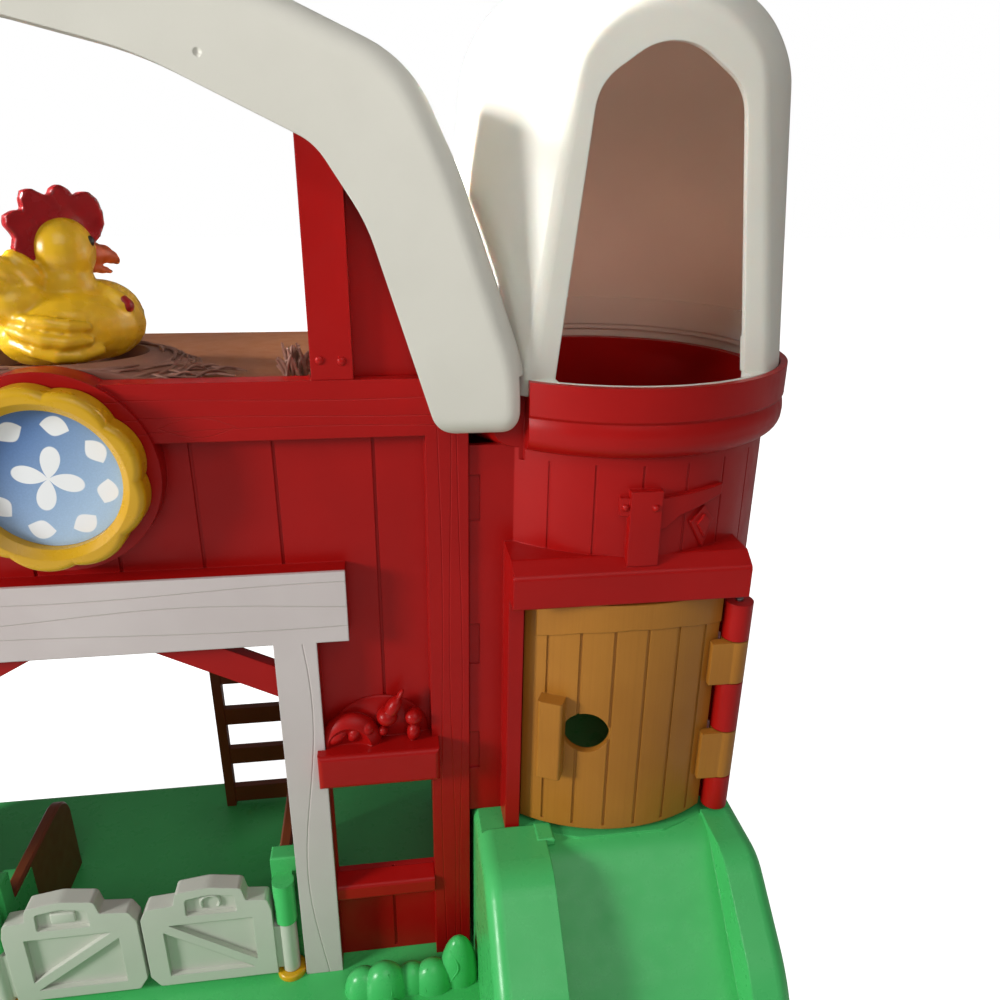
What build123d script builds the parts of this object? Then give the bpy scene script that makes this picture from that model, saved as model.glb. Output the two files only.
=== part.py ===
from build123d import *
import os
from math import atan2, cos, degrees, radians, sin, tan

# Toy barn with opening doors: a moulded plastic farm playset with a round silo on its right.
# Lengths in mm. While modelling, X runs from the barn's centreline to the right, Y from the
# front faces of the corner posts to the back, and Z up from the barn floor. save() then moves
# each piece into the part's frame: origin under the middle of the base, on the table.

RUN = 0.05             # radial clearance of every turning fit
GAP = 0.4              # clearance between faces that pass each other
FAR = 999.0            # reach of a cut that goes right through

# ---- doorway, its white facing and its corner braces
DOOR_HALF_W = 72.7
DOOR_H = 187.0
DOOR_POST_W = 17.5
LINTEL_H = 32.0
LINTEL_EAR = 30.8      # lintel past the doorway on each side
TRIM_RIB_OUT = 2.2     # red rib under the facing, in front of the corner posts
TRIM_T = 1.6
BRACE_RUN = 56.0       # how far a brace reaches in under the lintel
BRACE_DROP = 31.6      # how far it reaches down the post
BRACE_BAND = 15.0      # its vertical width
BRACE_T = 6.0

# ---- front wall
WALL_HALF_W = 154.0
GABLE_BAND = 77.0      # wall above the lintel, which carries the dial
WALL_H = DOOR_H + LINTEL_H + GABLE_BAND
WALL_T = 3.0           # plank panel thickness
PLANK_SETBACK = 6.0    # plank faces behind the post fronts
PANEL_BACK = PLANK_SETBACK + WALL_T
POST_W = 17.0
BEAM_H = 22.5
PLANK_LINES = (16.0, 47.8, 78.7, 116.9)
SIDE_PLANK_PITCH = 34.0
GROOVE_W = 1.2
GROOVE_D = 0.7

# ---- window openings, sills and ledges
WINDOW_Z = 54.0
WINDOW_H = 62.0
WINDOW_X = DOOR_HALF_W + DOOR_POST_W + 0.8
WINDOW_W = WALL_HALF_W - POST_W - WINDOW_X + 0.3
SILL_H = 11.5
SILL_OUT = 8.0
LEDGE_EXTRA = 4.0      # ledge past the opening, at the door post's side
LEDGE_W = WINDOW_W + 6.7
LEDGE_H = 17.0
LEDGE_OUT = 6.0
# moulded heap on the ledge: across, up, half width, half height, tilt
PRODUCE = ((8.5, 4.5, 5.5, 3.2, -35), (16.0, 5.5, 3.0, 4.6, 25), (22.0, 7.6, 3.4, 3.4, 0),
           (22.0, 21.4, 5.6, 5.0, 0), (30.6, 12.6, 4.6, 4.2, 0), (33.2, 17.0, 3.2, 6.2, 30),
           (36.4, 23.0, 1.1, 3.2, 30), (41.8, 20.4, 2.6, 1.5, -25), (42.2, 11.6, 4.0, 3.8, 0),
           (28.6, 5.6, 2.1, 2.4, 0), (34.2, 6.0, 3.6, 2.0, -15), (42.0, 4.0, 3.0, 4.6, 10))

# ---- base moulding
BASE_H = 18.0          # barn floor above the table
BASE_WALL = 2.6        # wall and deck thickness
BASE_CORNER_R = 30.0
BASE_EDGE_R = 5.0
LAWN_LEFT = 26.0       # lawn past the barn's left wall
LAWN_D = 124.0         # corner-post fronts to the base's front edge
YARD_D = 146.0         # corner-post fronts to the base's back edge
BASE_RIB_T = 2.0
BASE_RIB_Y = 20.0
# shrubs in the lawn: in from the wall's end, in front of the posts, radius, height over radius
SHRUBS = ((53, 15, 9.5, 1.3), (43, 17, 11, 1.5), (30, 15, 9, 1.35), (20, 16, 10, 1.4),
          (40, 27, 4.5, 1.0), (7, 14, 9.5, 2.7))

# ---- silo
SILO_DX = WALL_HALF_W + 68.0   # barn centreline to silo axis
SILO_DY = 53.0                 # corner-post fronts to silo axis
SILO_R = 71.0
SILO_WALL = 3.0
SILO_FLOOR = 88.0              # platform under the silo
SILO_RIM = WALL_H
SILO_PAD_R = 84.0              # round bulge of the base about the silo
RIM_R = 78.0
RIM_H = 13.4
WAIST_DEPTH = 1.0
COLLAR_H = 28.5
COLLAR_WALL = 3.0
STAVE_DEG = 15.0
STAVE_START = -91.3
STAVE_COUNT = 19
STAVE_W = 0.9
STAVE_D = 0.35
SIDE_GAP = 0.3                 # silo's flat side to the barn's side wall

BARN_TO_LEFT = WALL_HALF_W + LAWN_LEFT
BARN_TO_RIGHT = SILO_DX + 63.0

# ---- side walls, loft and ladder
SIDE_WALL_D = 112.0    # side wall's reach behind the front panel
LOFT_DROP = 2.0        # loft floor below the top of the front wall
LOFT_TOP = WALL_H - LOFT_DROP
LOFT_T = 4.0
LOFT_BACK = 121.0
LOFT_GAP = 0.3
LOFT_LEDGE_W = 8.0
LOFT_RIB_H = 9.0
LOFT_BOSS_H = 8.0
LADDER_X = 14.5
LADDER_W = 46.0
LADDER_RAIL_W = 5.5
LADDER_RAIL_T = 5.0
RUNG_FIRST = 8.4
RUNG_PITCH = 28.6
RUNG_H = 11.0

# ---- gable studs and roof arch
STUD_X = WALL_HALF_W - 58.5
STUD_W = 15.5
ARCH_OUT = 12.0        # arch face in front of the corner posts
ARCH_WALL = 2.6
ARCH_FOOT_Z = WALL_H - 20.5
ARCH_FOOT_IN = WALL_HALF_W - 12.0
ARCH_FOOT_OUT = WALL_HALF_W + 21.6
ARCH_TOP_OUT = WALL_H + 155.0
ARCH_TOP_IN = ARCH_TOP_OUT - 38.0
ARCH_EDGE_R = 8.5      # soft rounding of the arch's outer edge
ARCH_LIP_D = 30.0      # roof lip behind the post fronts
ARCH_DIMPLE = (69.7, 49.7)  # gate mark: from the centreline, below the top
ROOF_SCREWS = ((WALL_HALF_W - 8, WALL_H - 10), (WALL_HALF_W - 16, WALL_H + 56))

# ---- turning dial
DIAL_R = 35.2
DIAL_Z = DOOR_H + LINTEL_H + DIAL_R + 8.8
DIAL_LOBES = 9
DIAL_LOBE_H = 2.0
DIAL_BORE_R = 26.6
DIAL_T = 9.5
DIAL_DISC_T = 2.0
DIAL_PICTURE_T = 0.8
DIAL_HUB_R = 6.0
BEZEL_R = DIAL_R + 3.3
BEZEL_OUT = 2.0
WASHER_R = 10.0
WASHER_T = 1.5

# ---- screws
SCREW_R = 1.5
SCREW_HEAD_R = 3.2
SCREW_HEAD_H = 2.2
SCREW_BOSS_R = 4.6
SCREW_BOSS_H = 30.0
SCREW_BITE = 18.0

# ---- hen on its nest
HEN_X = -3.0
HEN_L = 70.0
HEN_W = 50.0
HEN_Y = PANEL_BACK + HEN_W / 2 + 2.0
HEN_TRAVEL = 4.0
HEN_BODY_H = 25.0
HEN_BASE = LOFT_TOP + HEN_TRAVEL + 1.0
HEN_MIDDLE = HEN_BASE + 15.0
HEN_STEM_R = 5.0
HEN_STEM_END = LOFT_TOP - LOFT_T - LOFT_BOSS_H - GAP
HEN_HEAD_R = 13.5
HEN_HEAD_X = HEN_X + 7.5
HEN_HEAD_Z = HEN_MIDDLE + 25.5
NEST_L = 96.0
NEST_W = 74.0
NEST_H = 9.0
NEST_SLACK = 1.5
SPRING_WIRE_R = 0.6
SPRING_R = 7.6
SPRING_TURNS = 3
SPRING_ROOM = 12.0     # hollow in the hen's belly
SPRING_POCKET = 1.6    # seat in the loft floor

# ---- half gates, their posts and bushes
GATE_PIN_X = DOOR_HALF_W - 7.2
GATE_PIN_R = 2.0
GATE_KNUCKLE_R = 4.2
GATE_KNUCKLE_TOP = 34.0
GATE_T = 8.0
GATE_BOTTOM = 3.6
GATE_SHOULDER = 52.0
GATE_TOP = 62.0
GATE_MID_GAP = 1.6
GATE_STILE_W = 9.0
BUSH_R = 7.0
BUSH_H = 3.0
GATE_POST_TOP = 66.0
GATE_BOSS_R = 5.2
GATE_BOSS_TOP = 58.0
PIN_REACH = 6.0

# ---- stall dividers
DIVIDER_X = DOOR_HALF_W - 12.7
DIVIDER_T = 6.0
DIVIDER_FRONT = 16.0
DIVIDER_BACK = 86.0
DIVIDER_H = 51.0
DIVIDER_CORNER_R = 14.0

# ---- silo door, its header, jamb and hinge
SDOOR_R = 75.7
SDOOR_T = 3.5
SDOOR_LEFT_DEG = -36.8
SDOOR_RIGHT_DEG = 31.5
SDOOR_BOTTOM = SILO_FLOOR + 3.5
SDOOR_TOP = 206.4
SDOOR_BAND_OUT = 0.7   # raised band along the door's top
STAVE_DOOR_DEG = 10.6
HEADER_W = 98.0
HEADER_X = WALL_HALF_W + 15.0
HEADER_Z = SDOOR_TOP + 1.0
HEADER_H = 19.0
HEADER_Y = SILO_DY - 77.0
JAMB_W = 6.4
JAMB_Y = SILO_DY - 66.0
HINGE_X = SILO_DX + 47.0
HINGE_Y = SILO_DY - 65.0
KNUCKLE_R = 6.0
HINGE_PIN_R = 1.6
DOOR_KNUCKLES = ((23.0, 47.5), (73.5, 94.0))                # above the platform
BODY_KNUCKLES = ((4.5, 22.5), (48.0, 73.0), (94.5, 112.0))  # above the platform
FINGER_R = 10.0
FINGER_DEG = -15.0
FINGER_Z = SILO_FLOOR + 55.5
GRIP_DEG = -26.0
GRIP_W = 11.0
GRIP_H = 39.0
GRIP_Z = SILO_FLOOR + 53.5
GRIP_OUT = 7.0

# ---- silo hood
HOOD_R = RIM_R - COLLAR_WALL - 0.6
HOOD_SHOULDER_R = 65.5
HOOD_SHOULDER = 104.0  # heights of the hood above the rim
HOOD_TOP = 143.0
HOOD_T = 2.8
HOOD_SKIRT = 6.6
HOOD_SKIRT_T = 1.8
HOOD_FLANGE_T = 2.5
HOOD_FRONT = 56.0      # flat front, from the silo's axis
HOOD_EDGE_R = 7.0      # rounding between the flat front and the dome
HOOD_TURN = 3.5        # the front looks a little to the right
HOOD_BAND_H = 14.0
HOOD_BAND_T = 1.2
MOUTH_LOW = 39.0       # mouth's half width at the rim
MOUTH_HIGH = 27.3
MOUTH_SPRING = 101.0
MOUTH_TOP = 114.7

# ---- ramp
RAMP_LEFT = WALL_HALF_W + 2.0
RAMP_RIGHT = SILO_DX + 58.0
CHUTE_LEFT = SILO_DX - 36.0
CHUTE_RIGHT = SILO_DX + 40.0
CHUTE_BROW = SILO_DY - 77.0          # where the chute starts to fall
CHUTE_KNEE = (SILO_DY - 119.0, 48.0)
RAIL_RISE = 2.0                      # side rails above the platform
RAIL_BROW = SILO_DY - 95.0
RAIL_KNEE = (SILO_DY - 133.0, 60.0)
RAMP_TOE = 12.0 - LAWN_D
RAIL_TOE_H = 7.0
CHUTE_TOE_H = 1.5
RAMP_SHELL = 3.0
RAIL_EDGE_R = 7.0
SPIGOT_H = 5.0         # ring that centres the silo on its platform
DROP_SLOPE_H = 30.0    # sloped floor inside the silo, at its back
DOOR_STOP = (SILO_DX - 40, SILO_DX - 32, SILO_DY - 77, SILO_DY - 66)  # left, right, front, back
DOOR_STOP_H = 2.4
SILO_SCREWS = ((SILO_DX - 30, SILO_DY + 40), (SILO_DX + 45, SILO_DY + 20), (SILO_DX + 40, SILO_DY - 57))

BASE_W = BARN_TO_LEFT + SILO_DX + SILO_PAD_R
BASE_D = LAWN_D + YARD_D
FRAME = Pos(BARN_TO_LEFT - BASE_W / 2, LAWN_D - BASE_D / 2, BASE_H)

os.makedirs("parts", exist_ok=True)


def save(name, shape):
    """Write one piece, moved into the part's frame, as a compound of its solids."""
    solids = (FRAME * shape).solids()
    for solid in solids:
        if not solid.is_valid or solid.volume <= 0:
            print("BAD", name, solid.is_valid, solid.volume)
    shape = solids[0] if len(solids) == 1 else Compound(children=list(solids))
    export_step(shape, f"parts/{name}.step")
    print(name, len(solids), round(sum(s.volume for s in solids)))


def box(x0, x1, y0, y1, z0, z1):
    """Block between two corners."""
    return Pos((x0 + x1) / 2, (y0 + y1) / 2, (z0 + z1) / 2) * Box(x1 - x0, y1 - y0, z1 - z0)


def rod(x, y, r, z0, z1):
    """Upright cylinder."""
    return Pos(x, y, (z0 + z1) / 2) * Cylinder(r, z1 - z0)


def rod_y(x, z, r, y0, y1):
    """Cylinder along Y."""
    return Pos(x, (y0 + y1) / 2, z) * Rot(90, 0, 0) * Cylinder(r, y1 - y0)


def slab(sketch, y0, y1):
    """Front-view outline (X across, Z up) as a slab from y0 to y1."""
    return Pos(0, y1, 0) * Rot(90, 0, 0) * extrude(sketch, y1 - y0)


def side_slab(sketch, x0, x1):
    """Side-view outline (Y across, Z up) as a slab from x0 to x1."""
    return Pos(x0, 0, 0) * extrude(Plane.YZ * sketch, x1 - x0)


def rect(x0, x1, z0, z1):
    """Rectangle face between two corners of a view."""
    return Pos((x0 + x1) / 2, (z0 + z1) / 2) * Rectangle(x1 - x0, z1 - z0)


def fused(shapes):
    """One shape from many."""
    whole = shapes[0]
    for shape in shapes[1:]:
        whole = whole + shape
    return whole


def biggest(shape):
    """The main solid, without slivers that a cut left."""
    return max(shape.solids(), key=lambda s: s.volume)


def rounded(points, radii):
    """Closed polygon face with its own radius at each corner, as far as its two sides allow."""
    face = make_face(Polyline(*points, close=True))
    for i, radius in enumerate(radii):
        if radius:
            here = Vector(*points[i])
            last = Vector(*points[i - 1]) - here
            following = Vector(*points[(i + 1) % len(points)]) - here
            turn = radians(180 - last.get_angle(following))
            room = 0.49 * min(last.length, following.length) / tan(turn / 2)
            corner = min(face.vertices(), key=lambda v: (Vector(v) - here).length)
            face = fillet(corner, min(radius, room))
    return face


def mirrored(shape):
    """The same shape on the other side of the barn."""
    return mirror(shape, Plane.YZ)


# ------------------------------------------------------------------ base and ramp
def base_outline(inset):
    width = BARN_TO_LEFT + BARN_TO_RIGHT - 2 * inset
    depth = BASE_D - 2 * inset
    middle = Pos((BARN_TO_RIGHT - BARN_TO_LEFT) / 2, (YARD_D - LAWN_D) / 2)
    lawn = middle * RectangleRounded(width, depth, BASE_CORNER_R - inset)
    return lawn + Pos(SILO_DX, SILO_DY) * Circle(SILO_PAD_R - inset)


def shrub(x, y, r, squash):
    """Round clump standing in the lawn."""
    return Pos(x, y, 0) * scale(Sphere(r), by=(1, 0.8, squash)) & box(-FAR, FAR, -FAR, FAR, -2, FAR)


def base_tray():
    """Green lawn tray: a shallow shell open underneath, with one lengthwise rib and screw holes."""
    deck = Pos(0, 0, -BASE_H) * extrude(base_outline(0), BASE_H)
    rim = deck.edges().group_by(Axis.Z)[-1]
    deck = fillet(rim, BASE_EDGE_R)
    hollow = Pos(0, 0, -BASE_H - 1) * extrude(base_outline(BASE_WALL), BASE_H + 1 - BASE_WALL)
    tray = deck - hollow
    inside = Pos(0, 0, -BASE_H) * extrude(base_outline(BASE_WALL / 2), BASE_H - BASE_WALL / 2)
    rib = box(-BARN_TO_LEFT, SILO_DX + SILO_PAD_R, BASE_RIB_Y, BASE_RIB_Y + BASE_RIB_T, -BASE_H, -1)
    tray += rib & inside
    for dx, dy, r, squash in SHRUBS:
        tray += shrub(WALL_HALF_W - dx, -dy, r, squash)
    for x, y in screw_places():
        tray -= rod(x, y, SCREW_R + RUN, -BASE_H, 5)
    for x, y in SILO_SCREWS:
        tray -= rod(x, y, SCREW_R + RUN, -BASE_H, 5)
    for side in (-1, 1):
        tray -= rod(side * GATE_PIN_X, 0, GATE_PIN_R + RUN, -BASE_H, 5)
    return tray


def screw_places():
    """Centres of the screws that hold the walls down."""
    x = WALL_HALF_W - 8
    return [(side * x, y) for side in (-1, 1) for y in (PANEL_BACK + 5, SIDE_WALL_D)]


def side_profile(top, brow, knee, toe_h, shell):
    """Side outline of the ramp: level, over the brow, down to the toe; shell thins it."""
    toe = RAMP_TOE + shell
    points = [(SILO_DY, 0), (SILO_DY, top - shell), (brow + shell * 0.6, top - shell),
              (knee[0] + shell, knee[1] - shell), (toe, toe_h - min(shell, toe_h) + 0.2), (toe, 0)]
    return rounded(points, (0, 0, 24, 60, 0, 0))


def silo_ramp():
    """Green platform under the silo, running out as a chute between two rounded rails."""
    rails = side_profile(SILO_FLOOR + RAIL_RISE, RAIL_BROW, RAIL_KNEE, RAIL_TOE_H, 0)
    chute = side_profile(SILO_FLOOR, CHUTE_BROW, CHUTE_KNEE, CHUTE_TOE_H, 0)
    under = side_profile(SILO_FLOOR, CHUTE_BROW, CHUTE_KNEE, CHUTE_TOE_H, RAMP_SHELL)
    block = side_slab(rails, RAMP_LEFT, RAMP_RIGHT)
    tops = [e for e in block.edges() if e.bounding_box().size.X < 0.01
            and e.bounding_box().min.Z > RAIL_TOE_H - 1 and e.bounding_box().min.Y < SILO_DY - 1]
    block = fillet(tops, RAIL_EDGE_R)
    lane = box(CHUTE_LEFT, CHUTE_RIGHT, RAMP_TOE - 5, SILO_DY, 0, FAR)
    block -= lane - side_slab(chute, CHUTE_LEFT - 1, CHUTE_RIGHT + 1)
    keep = box(RAMP_LEFT, FAR, RAIL_BROW + 20, FAR, 0, SILO_FLOOR)
    pad = rod(SILO_DX, SILO_DY, SILO_R + 6.5, 0, SILO_FLOOR) & keep
    level = box(RAMP_LEFT, RAMP_RIGHT, JAMB_Y - 1, SILO_DY, SILO_FLOOR, FAR)
    block = block - level + pad
    inside = box(RAMP_LEFT + RAMP_SHELL, RAMP_RIGHT - RAMP_SHELL, -FAR, FAR, -1, FAR)
    block -= side_slab(under, RAMP_LEFT, RAMP_RIGHT) & inside
    hollow = rod(SILO_DX, SILO_DY, SILO_R + 3.5, -1, SILO_FLOOR - RAMP_SHELL)
    block -= hollow & box(RAMP_LEFT + RAMP_SHELL, FAR, 0, FAR, -1, FAR)
    for x, y in SILO_SCREWS:
        block += rod(x, y, SCREW_BOSS_R, 0, SILO_FLOOR - RAMP_SHELL + 0.5)
        block -= rod(x, y, SCREW_R, -1, SCREW_BITE + 2)
    spigot = SILO_R - SILO_WALL - GAP
    room = box(WALL_HALF_W + SIDE_GAP + SILO_WALL + GAP, FAR, -FAR, FAR, 0, FAR)
    ring = ring_solid(spigot - 2.5, spigot, SILO_FLOOR - 1, SILO_FLOOR + SPIGOT_H)
    ring -= sector(SDOOR_LEFT_DEG + 2, SDOOR_RIGHT_DEG - 2, 0, FAR)
    slope = make_face(Polyline((SILO_DY - 48, SILO_FLOOR - 1), (SILO_DY - 48, SILO_FLOOR + 0.5),
                               (SILO_DY + 70, SILO_FLOOR + DROP_SLOPE_H), (SILO_DY + 70, SILO_FLOOR - 1),
                               close=True))
    drop = side_slab(slope, WALL_HALF_W, FAR) & rod(SILO_DX, SILO_DY, spigot - 1, 0, FAR)
    block += (ring + drop) & room
    stop = box(*DOOR_STOP, SILO_FLOOR - 1, SILO_FLOOR + DOOR_STOP_H)
    return block + fillet(stop.edges().group_by(Axis.Z)[-1], 0.9)


# ------------------------------------------------------------------ front wall
def grooves(x_list, z0, z1, y):
    """Upright plank grooves cut into a face at y."""
    half = GROOVE_W / 2
    return fused([box(x - half, x + half, y - 1, y + GROOVE_D, z0, z1) for x in x_list])


def wall_openings():
    door = rect(-DOOR_HALF_W, DOOR_HALF_W, -1, DOOR_H)
    window = rect(WINDOW_X, WINDOW_X + WINDOW_W, WINDOW_Z, WINDOW_Z + WINDOW_H)
    other = rect(-WINDOW_X - WINDOW_W, -WINDOW_X, WINDOW_Z, WINDOW_Z + WINDOW_H)
    return door + window + other


def doorway_outline():
    """Lintel and the two door posts, as one outline."""
    lintel = DOOR_HALF_W + LINTEL_EAR
    outer = DOOR_HALF_W + DOOR_POST_W
    shape = rect(-lintel, lintel, DOOR_H, DOOR_H + LINTEL_H)
    shape += rect(DOOR_HALF_W, outer, 0, DOOR_H + 1)
    return shape + rect(-outer, -DOOR_HALF_W, 0, DOOR_H + 1)


def brace_outline():
    low = DOOR_H - BRACE_DROP
    tip = DOOR_HALF_W - BRACE_RUN
    return make_face(Polyline((DOOR_HALF_W + 3, low), (tip, DOOR_H), (tip + BRACE_BAND * 1.8, DOOR_H),
                              (DOOR_HALF_W + 3, low + BRACE_BAND), close=True))


def front_wall():
    """Red front: planks between corner posts under a top beam, with the doorway's raised frame."""
    half = WALL_HALF_W
    panel = slab(rect(-half, half, 0, WALL_H) - wall_openings(), PLANK_SETBACK, PANEL_BACK)
    lines = [side * x for side in (-1, 1) for x in PLANK_LINES]
    panel -= grooves(lines, 2, WALL_H - BEAM_H, PLANK_SETBACK)
    panel += slab(rect(half - POST_W, half, 0, WALL_H), 0, PANEL_BACK)
    panel += slab(rect(-half, POST_W - half, 0, WALL_H), 0, PANEL_BACK)
    panel += slab(rect(-half, half, WALL_H - BEAM_H, WALL_H), 0, PANEL_BACK)
    panel += slab(doorway_outline(), -TRIM_RIB_OUT, PANEL_BACK)
    brace = slab(brace_outline(), PANEL_BACK - BRACE_T, PANEL_BACK)
    panel += brace + mirrored(brace)
    panel += rod_y(0, DIAL_Z, BEZEL_R, -BEZEL_OUT, PANEL_BACK)
    panel -= rod_y(0, DIAL_Z, DIAL_HUB_R + RUN, -FAR, FAR)
    for side in (-1, 1):
        x = side * (WALL_HALF_W - 8)
        panel += rod(x, PANEL_BACK + 5, SCREW_BOSS_R, 0, SCREW_BOSS_H)
        panel += box(x - 3, x + 3, PANEL_BACK - 1, PANEL_BACK + 4, 0, SCREW_BOSS_H)
        panel -= rod(x, PANEL_BACK + 5, SCREW_R, -1, SCREW_BITE)
    x, z = ROOF_SCREWS[0]
    for side in (-1, 1):
        panel -= rod_y(side * x, z, SCREW_R + RUN, -FAR, FAR)
    return panel


def doorway_trim():
    """White facing of the lintel and the two door posts, one moulding."""
    return slab(doorway_outline(), -TRIM_RIB_OUT - TRIM_T, -TRIM_RIB_OUT)


def produce_heap(x0, z0):
    """Heap of fruit and vegetables in half relief, the left part in a round-topped basket."""
    y = PLANK_SETBACK - 5.0
    basket = ellipse_solid(x0 + 14.5, y, z0, 13.5, 6.5, 14.6)
    basket -= ellipse_solid(x0 + 13.5, y - 6.5, z0 - 0.5, 10.5, 4.6, 11.2)
    shapes = [basket]
    for dx, dz, a, c, tilt in PRODUCE:
        piece = Rot(0, tilt, 0) * scale(Sphere(1), by=(a, min(a, c) + 0.6, c))
        shapes.append(Pos(x0 + dx, y - 1.0, z0 + dz) * piece)
    backing = ellipse_solid(x0 + 27, PLANK_SETBACK, z0, 22, 3.0, 20)
    return fused(shapes + [backing]) & box(x0, x0 + LEDGE_W, y - FAR, PLANK_SETBACK, z0 - 1, FAR)


def window_ledge():
    """Red ledge over the right window, carrying its moulded heap."""
    x0 = WINDOW_X - LEDGE_EXTRA
    z0 = WINDOW_Z + WINDOW_H
    y_back = -TRIM_RIB_OUT - TRIM_T
    shelf = box(x0, x0 + LEDGE_W, y_back - LEDGE_OUT, PLANK_SETBACK, z0, z0 + LEDGE_H)
    front = [e for e in shelf.edges() if abs(e.center().Y - (y_back - LEDGE_OUT)) < 0.01]
    shelf = fillet(front, 2.2)
    ledge = shelf + produce_heap(x0, z0 + LEDGE_H)
    ledge -= box(x0 - 20, DOOR_HALF_W + DOOR_POST_W + GAP / 2, y_back, FAR, 0, FAR)
    ledge -= box(WALL_HALF_W - POST_W, FAR, 0, FAR, 0, FAR)
    return biggest(ledge)


def window_sill():
    """Red sill under the right window, between the door post and the corner post."""
    x0 = DOOR_HALF_W + DOOR_POST_W
    x1 = WALL_HALF_W - POST_W
    front = PLANK_SETBACK - SILL_OUT
    profile = rounded([(PLANK_SETBACK, WINDOW_Z - SILL_H), (PLANK_SETBACK, WINDOW_Z),
                       (front, WINDOW_Z - 3), (front, WINDOW_Z - SILL_H)], (0, 0, 2, 2))
    return side_slab(profile, x0 + GAP / 4, x1 - GAP / 4)


def side_wall():
    """Right side wall: planks outside, a boss for the base screw and a ledge for the loft."""
    y0 = PANEL_BACK
    y1 = PANEL_BACK + SIDE_WALL_D
    x = WALL_HALF_W - WALL_T
    wall = box(x, WALL_HALF_W, y0, y1, 0, LOFT_TOP)
    for i in range(1, int(SIDE_WALL_D // SIDE_PLANK_PITCH) + 1):
        y = y0 + i * SIDE_PLANK_PITCH
        wall -= box(WALL_HALF_W - GROOVE_D, WALL_HALF_W + 1, y - GROOVE_W / 2, y + GROOVE_W / 2,
                    2, LOFT_TOP - 10)
    under = LOFT_TOP - LOFT_T
    wall += box(x - LOFT_LEDGE_W, x, y0 + 12, y1, under - 3, under)
    wall += rod(WALL_HALF_W - 8, SIDE_WALL_D, SCREW_BOSS_R, 0, SCREW_BOSS_H)
    wall += box(x - 2, x + 1, SIDE_WALL_D - 3, SIDE_WALL_D + 3, 0, SCREW_BOSS_H)
    return wall - rod(WALL_HALF_W - 8, SIDE_WALL_D, SCREW_R, -1, SCREW_BITE)


# ------------------------------------------------------------------ loft, nest and hen
def loft_floor():
    """Brown hay-loft floor with stiffening ribs and the hen's guide."""
    x = WALL_HALF_W - WALL_T - LOFT_GAP
    y0 = PANEL_BACK + LOFT_GAP
    y1 = LOFT_BACK
    z = LOFT_TOP - LOFT_T
    floor = box(-x, x, y0, y1, z, LOFT_TOP)
    inner = x - LOFT_LEDGE_W - 2
    for y in (y0 + 6, (y0 + y1) / 2 + 18, y1 - 4):
        floor += box(-inner, inner, y - 1.2, y + 1.2, z - LOFT_RIB_H, z)
    floor += rod(HEN_X, HEN_Y, HEN_STEM_R + 3, z - LOFT_BOSS_H, z)
    floor -= rod(HEN_X, HEN_Y, HEN_STEM_R + RUN, z - 20, LOFT_TOP + 1)
    floor -= rod(HEN_X, HEN_Y, SPRING_R + 2, LOFT_TOP - SPRING_POCKET, LOFT_TOP + 1)
    return floor


def ellipse_solid(x, y, z, a, b, c):
    return Pos(x, y, z) * scale(Sphere(1), by=(a, b, c))


def nest():
    """Straw nest: a low oval mound with a hollow for the hen."""
    mound = ellipse_solid(HEN_X + 2, HEN_Y, LOFT_TOP, NEST_L / 2, NEST_W / 2, NEST_H)
    y_front = max(PANEL_BACK + LOFT_GAP, HEN_Y - NEST_W / 2)
    mound &= box(-FAR, FAR, y_front, FAR, LOFT_TOP, FAR)
    mound -= ellipse_solid(HEN_X, HEN_Y, HEN_MIDDLE, HEN_L / 2 + NEST_SLACK, HEN_W / 2 + NEST_SLACK,
                           HEN_BODY_H + NEST_SLACK + HEN_TRAVEL)
    mound -= rod(HEN_X, HEN_Y, SPRING_R + 2, LOFT_TOP - 1, FAR)
    return biggest(mound)


def hen_body():
    """Hollow-bellied yellow hen: body, neck, head, tail feathers and wings."""
    z = HEN_MIDDLE
    body = ellipse_solid(HEN_X, HEN_Y, z, HEN_L / 2, HEN_W / 2, HEN_BODY_H)
    body += ellipse_solid(HEN_HEAD_X - 1, HEN_Y, z + 16, 16, 15, 17)
    body += Pos(HEN_HEAD_X, HEN_Y, HEN_HEAD_Z) * Sphere(HEN_HEAD_R)
    for dx, dz, a, tilt in ((-29, 14, 14, -28), (-33, 8, 13, -48), (-25, 18, 12, -12)):
        feather = Rot(0, tilt, 0) * scale(Sphere(1), by=(6, 7, a))
        body += Pos(HEN_X + dx, HEN_Y, z + dz) * feather
    for side in (-1, 1):
        wing = Rot(0, 12, 0) * scale(Sphere(1), by=(19, 5, 8.5))
        body += Pos(HEN_X - 6, HEN_Y + side * (HEN_W / 2 - 3.5), z + 1) * wing
    body &= box(-FAR, FAR, -FAR, FAR, HEN_BASE, FAR)
    body -= rod(HEN_X, HEN_Y, SPRING_R + 1.6, HEN_BASE - 1, HEN_BASE + SPRING_ROOM)
    body += rod(HEN_X, HEN_Y, HEN_STEM_R, HEN_STEM_END, HEN_BASE + SPRING_ROOM + 1)
    return body - rod(HEN_X, HEN_Y, SCREW_R, HEN_STEM_END - 1, HEN_STEM_END + 14)


def hen_comb(body):
    """Red comb: a thin fan of rounded lobes set into the head."""
    shapes = []
    for deg, reach in ((-100, 20.5), (-72, 22), (-45, 23), (-18, 22.5), (9, 21.5), (36, 20.5)):
        out = Pos(HEN_HEAD_X, HEN_Y, HEN_HEAD_Z) * Rot(0, deg, 0)
        shapes.append(out * Pos(0, 0, reach * 0.86) * Sphere(3.4))
        shapes.append(out * Pos(0, 0, reach * 0.45) * Box(7, 4.6, reach * 0.9))
    comb = fused(shapes) & box(-FAR, FAR, HEN_Y - 2.4, HEN_Y + 2.4, 0, FAR)
    return comb - body


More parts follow.
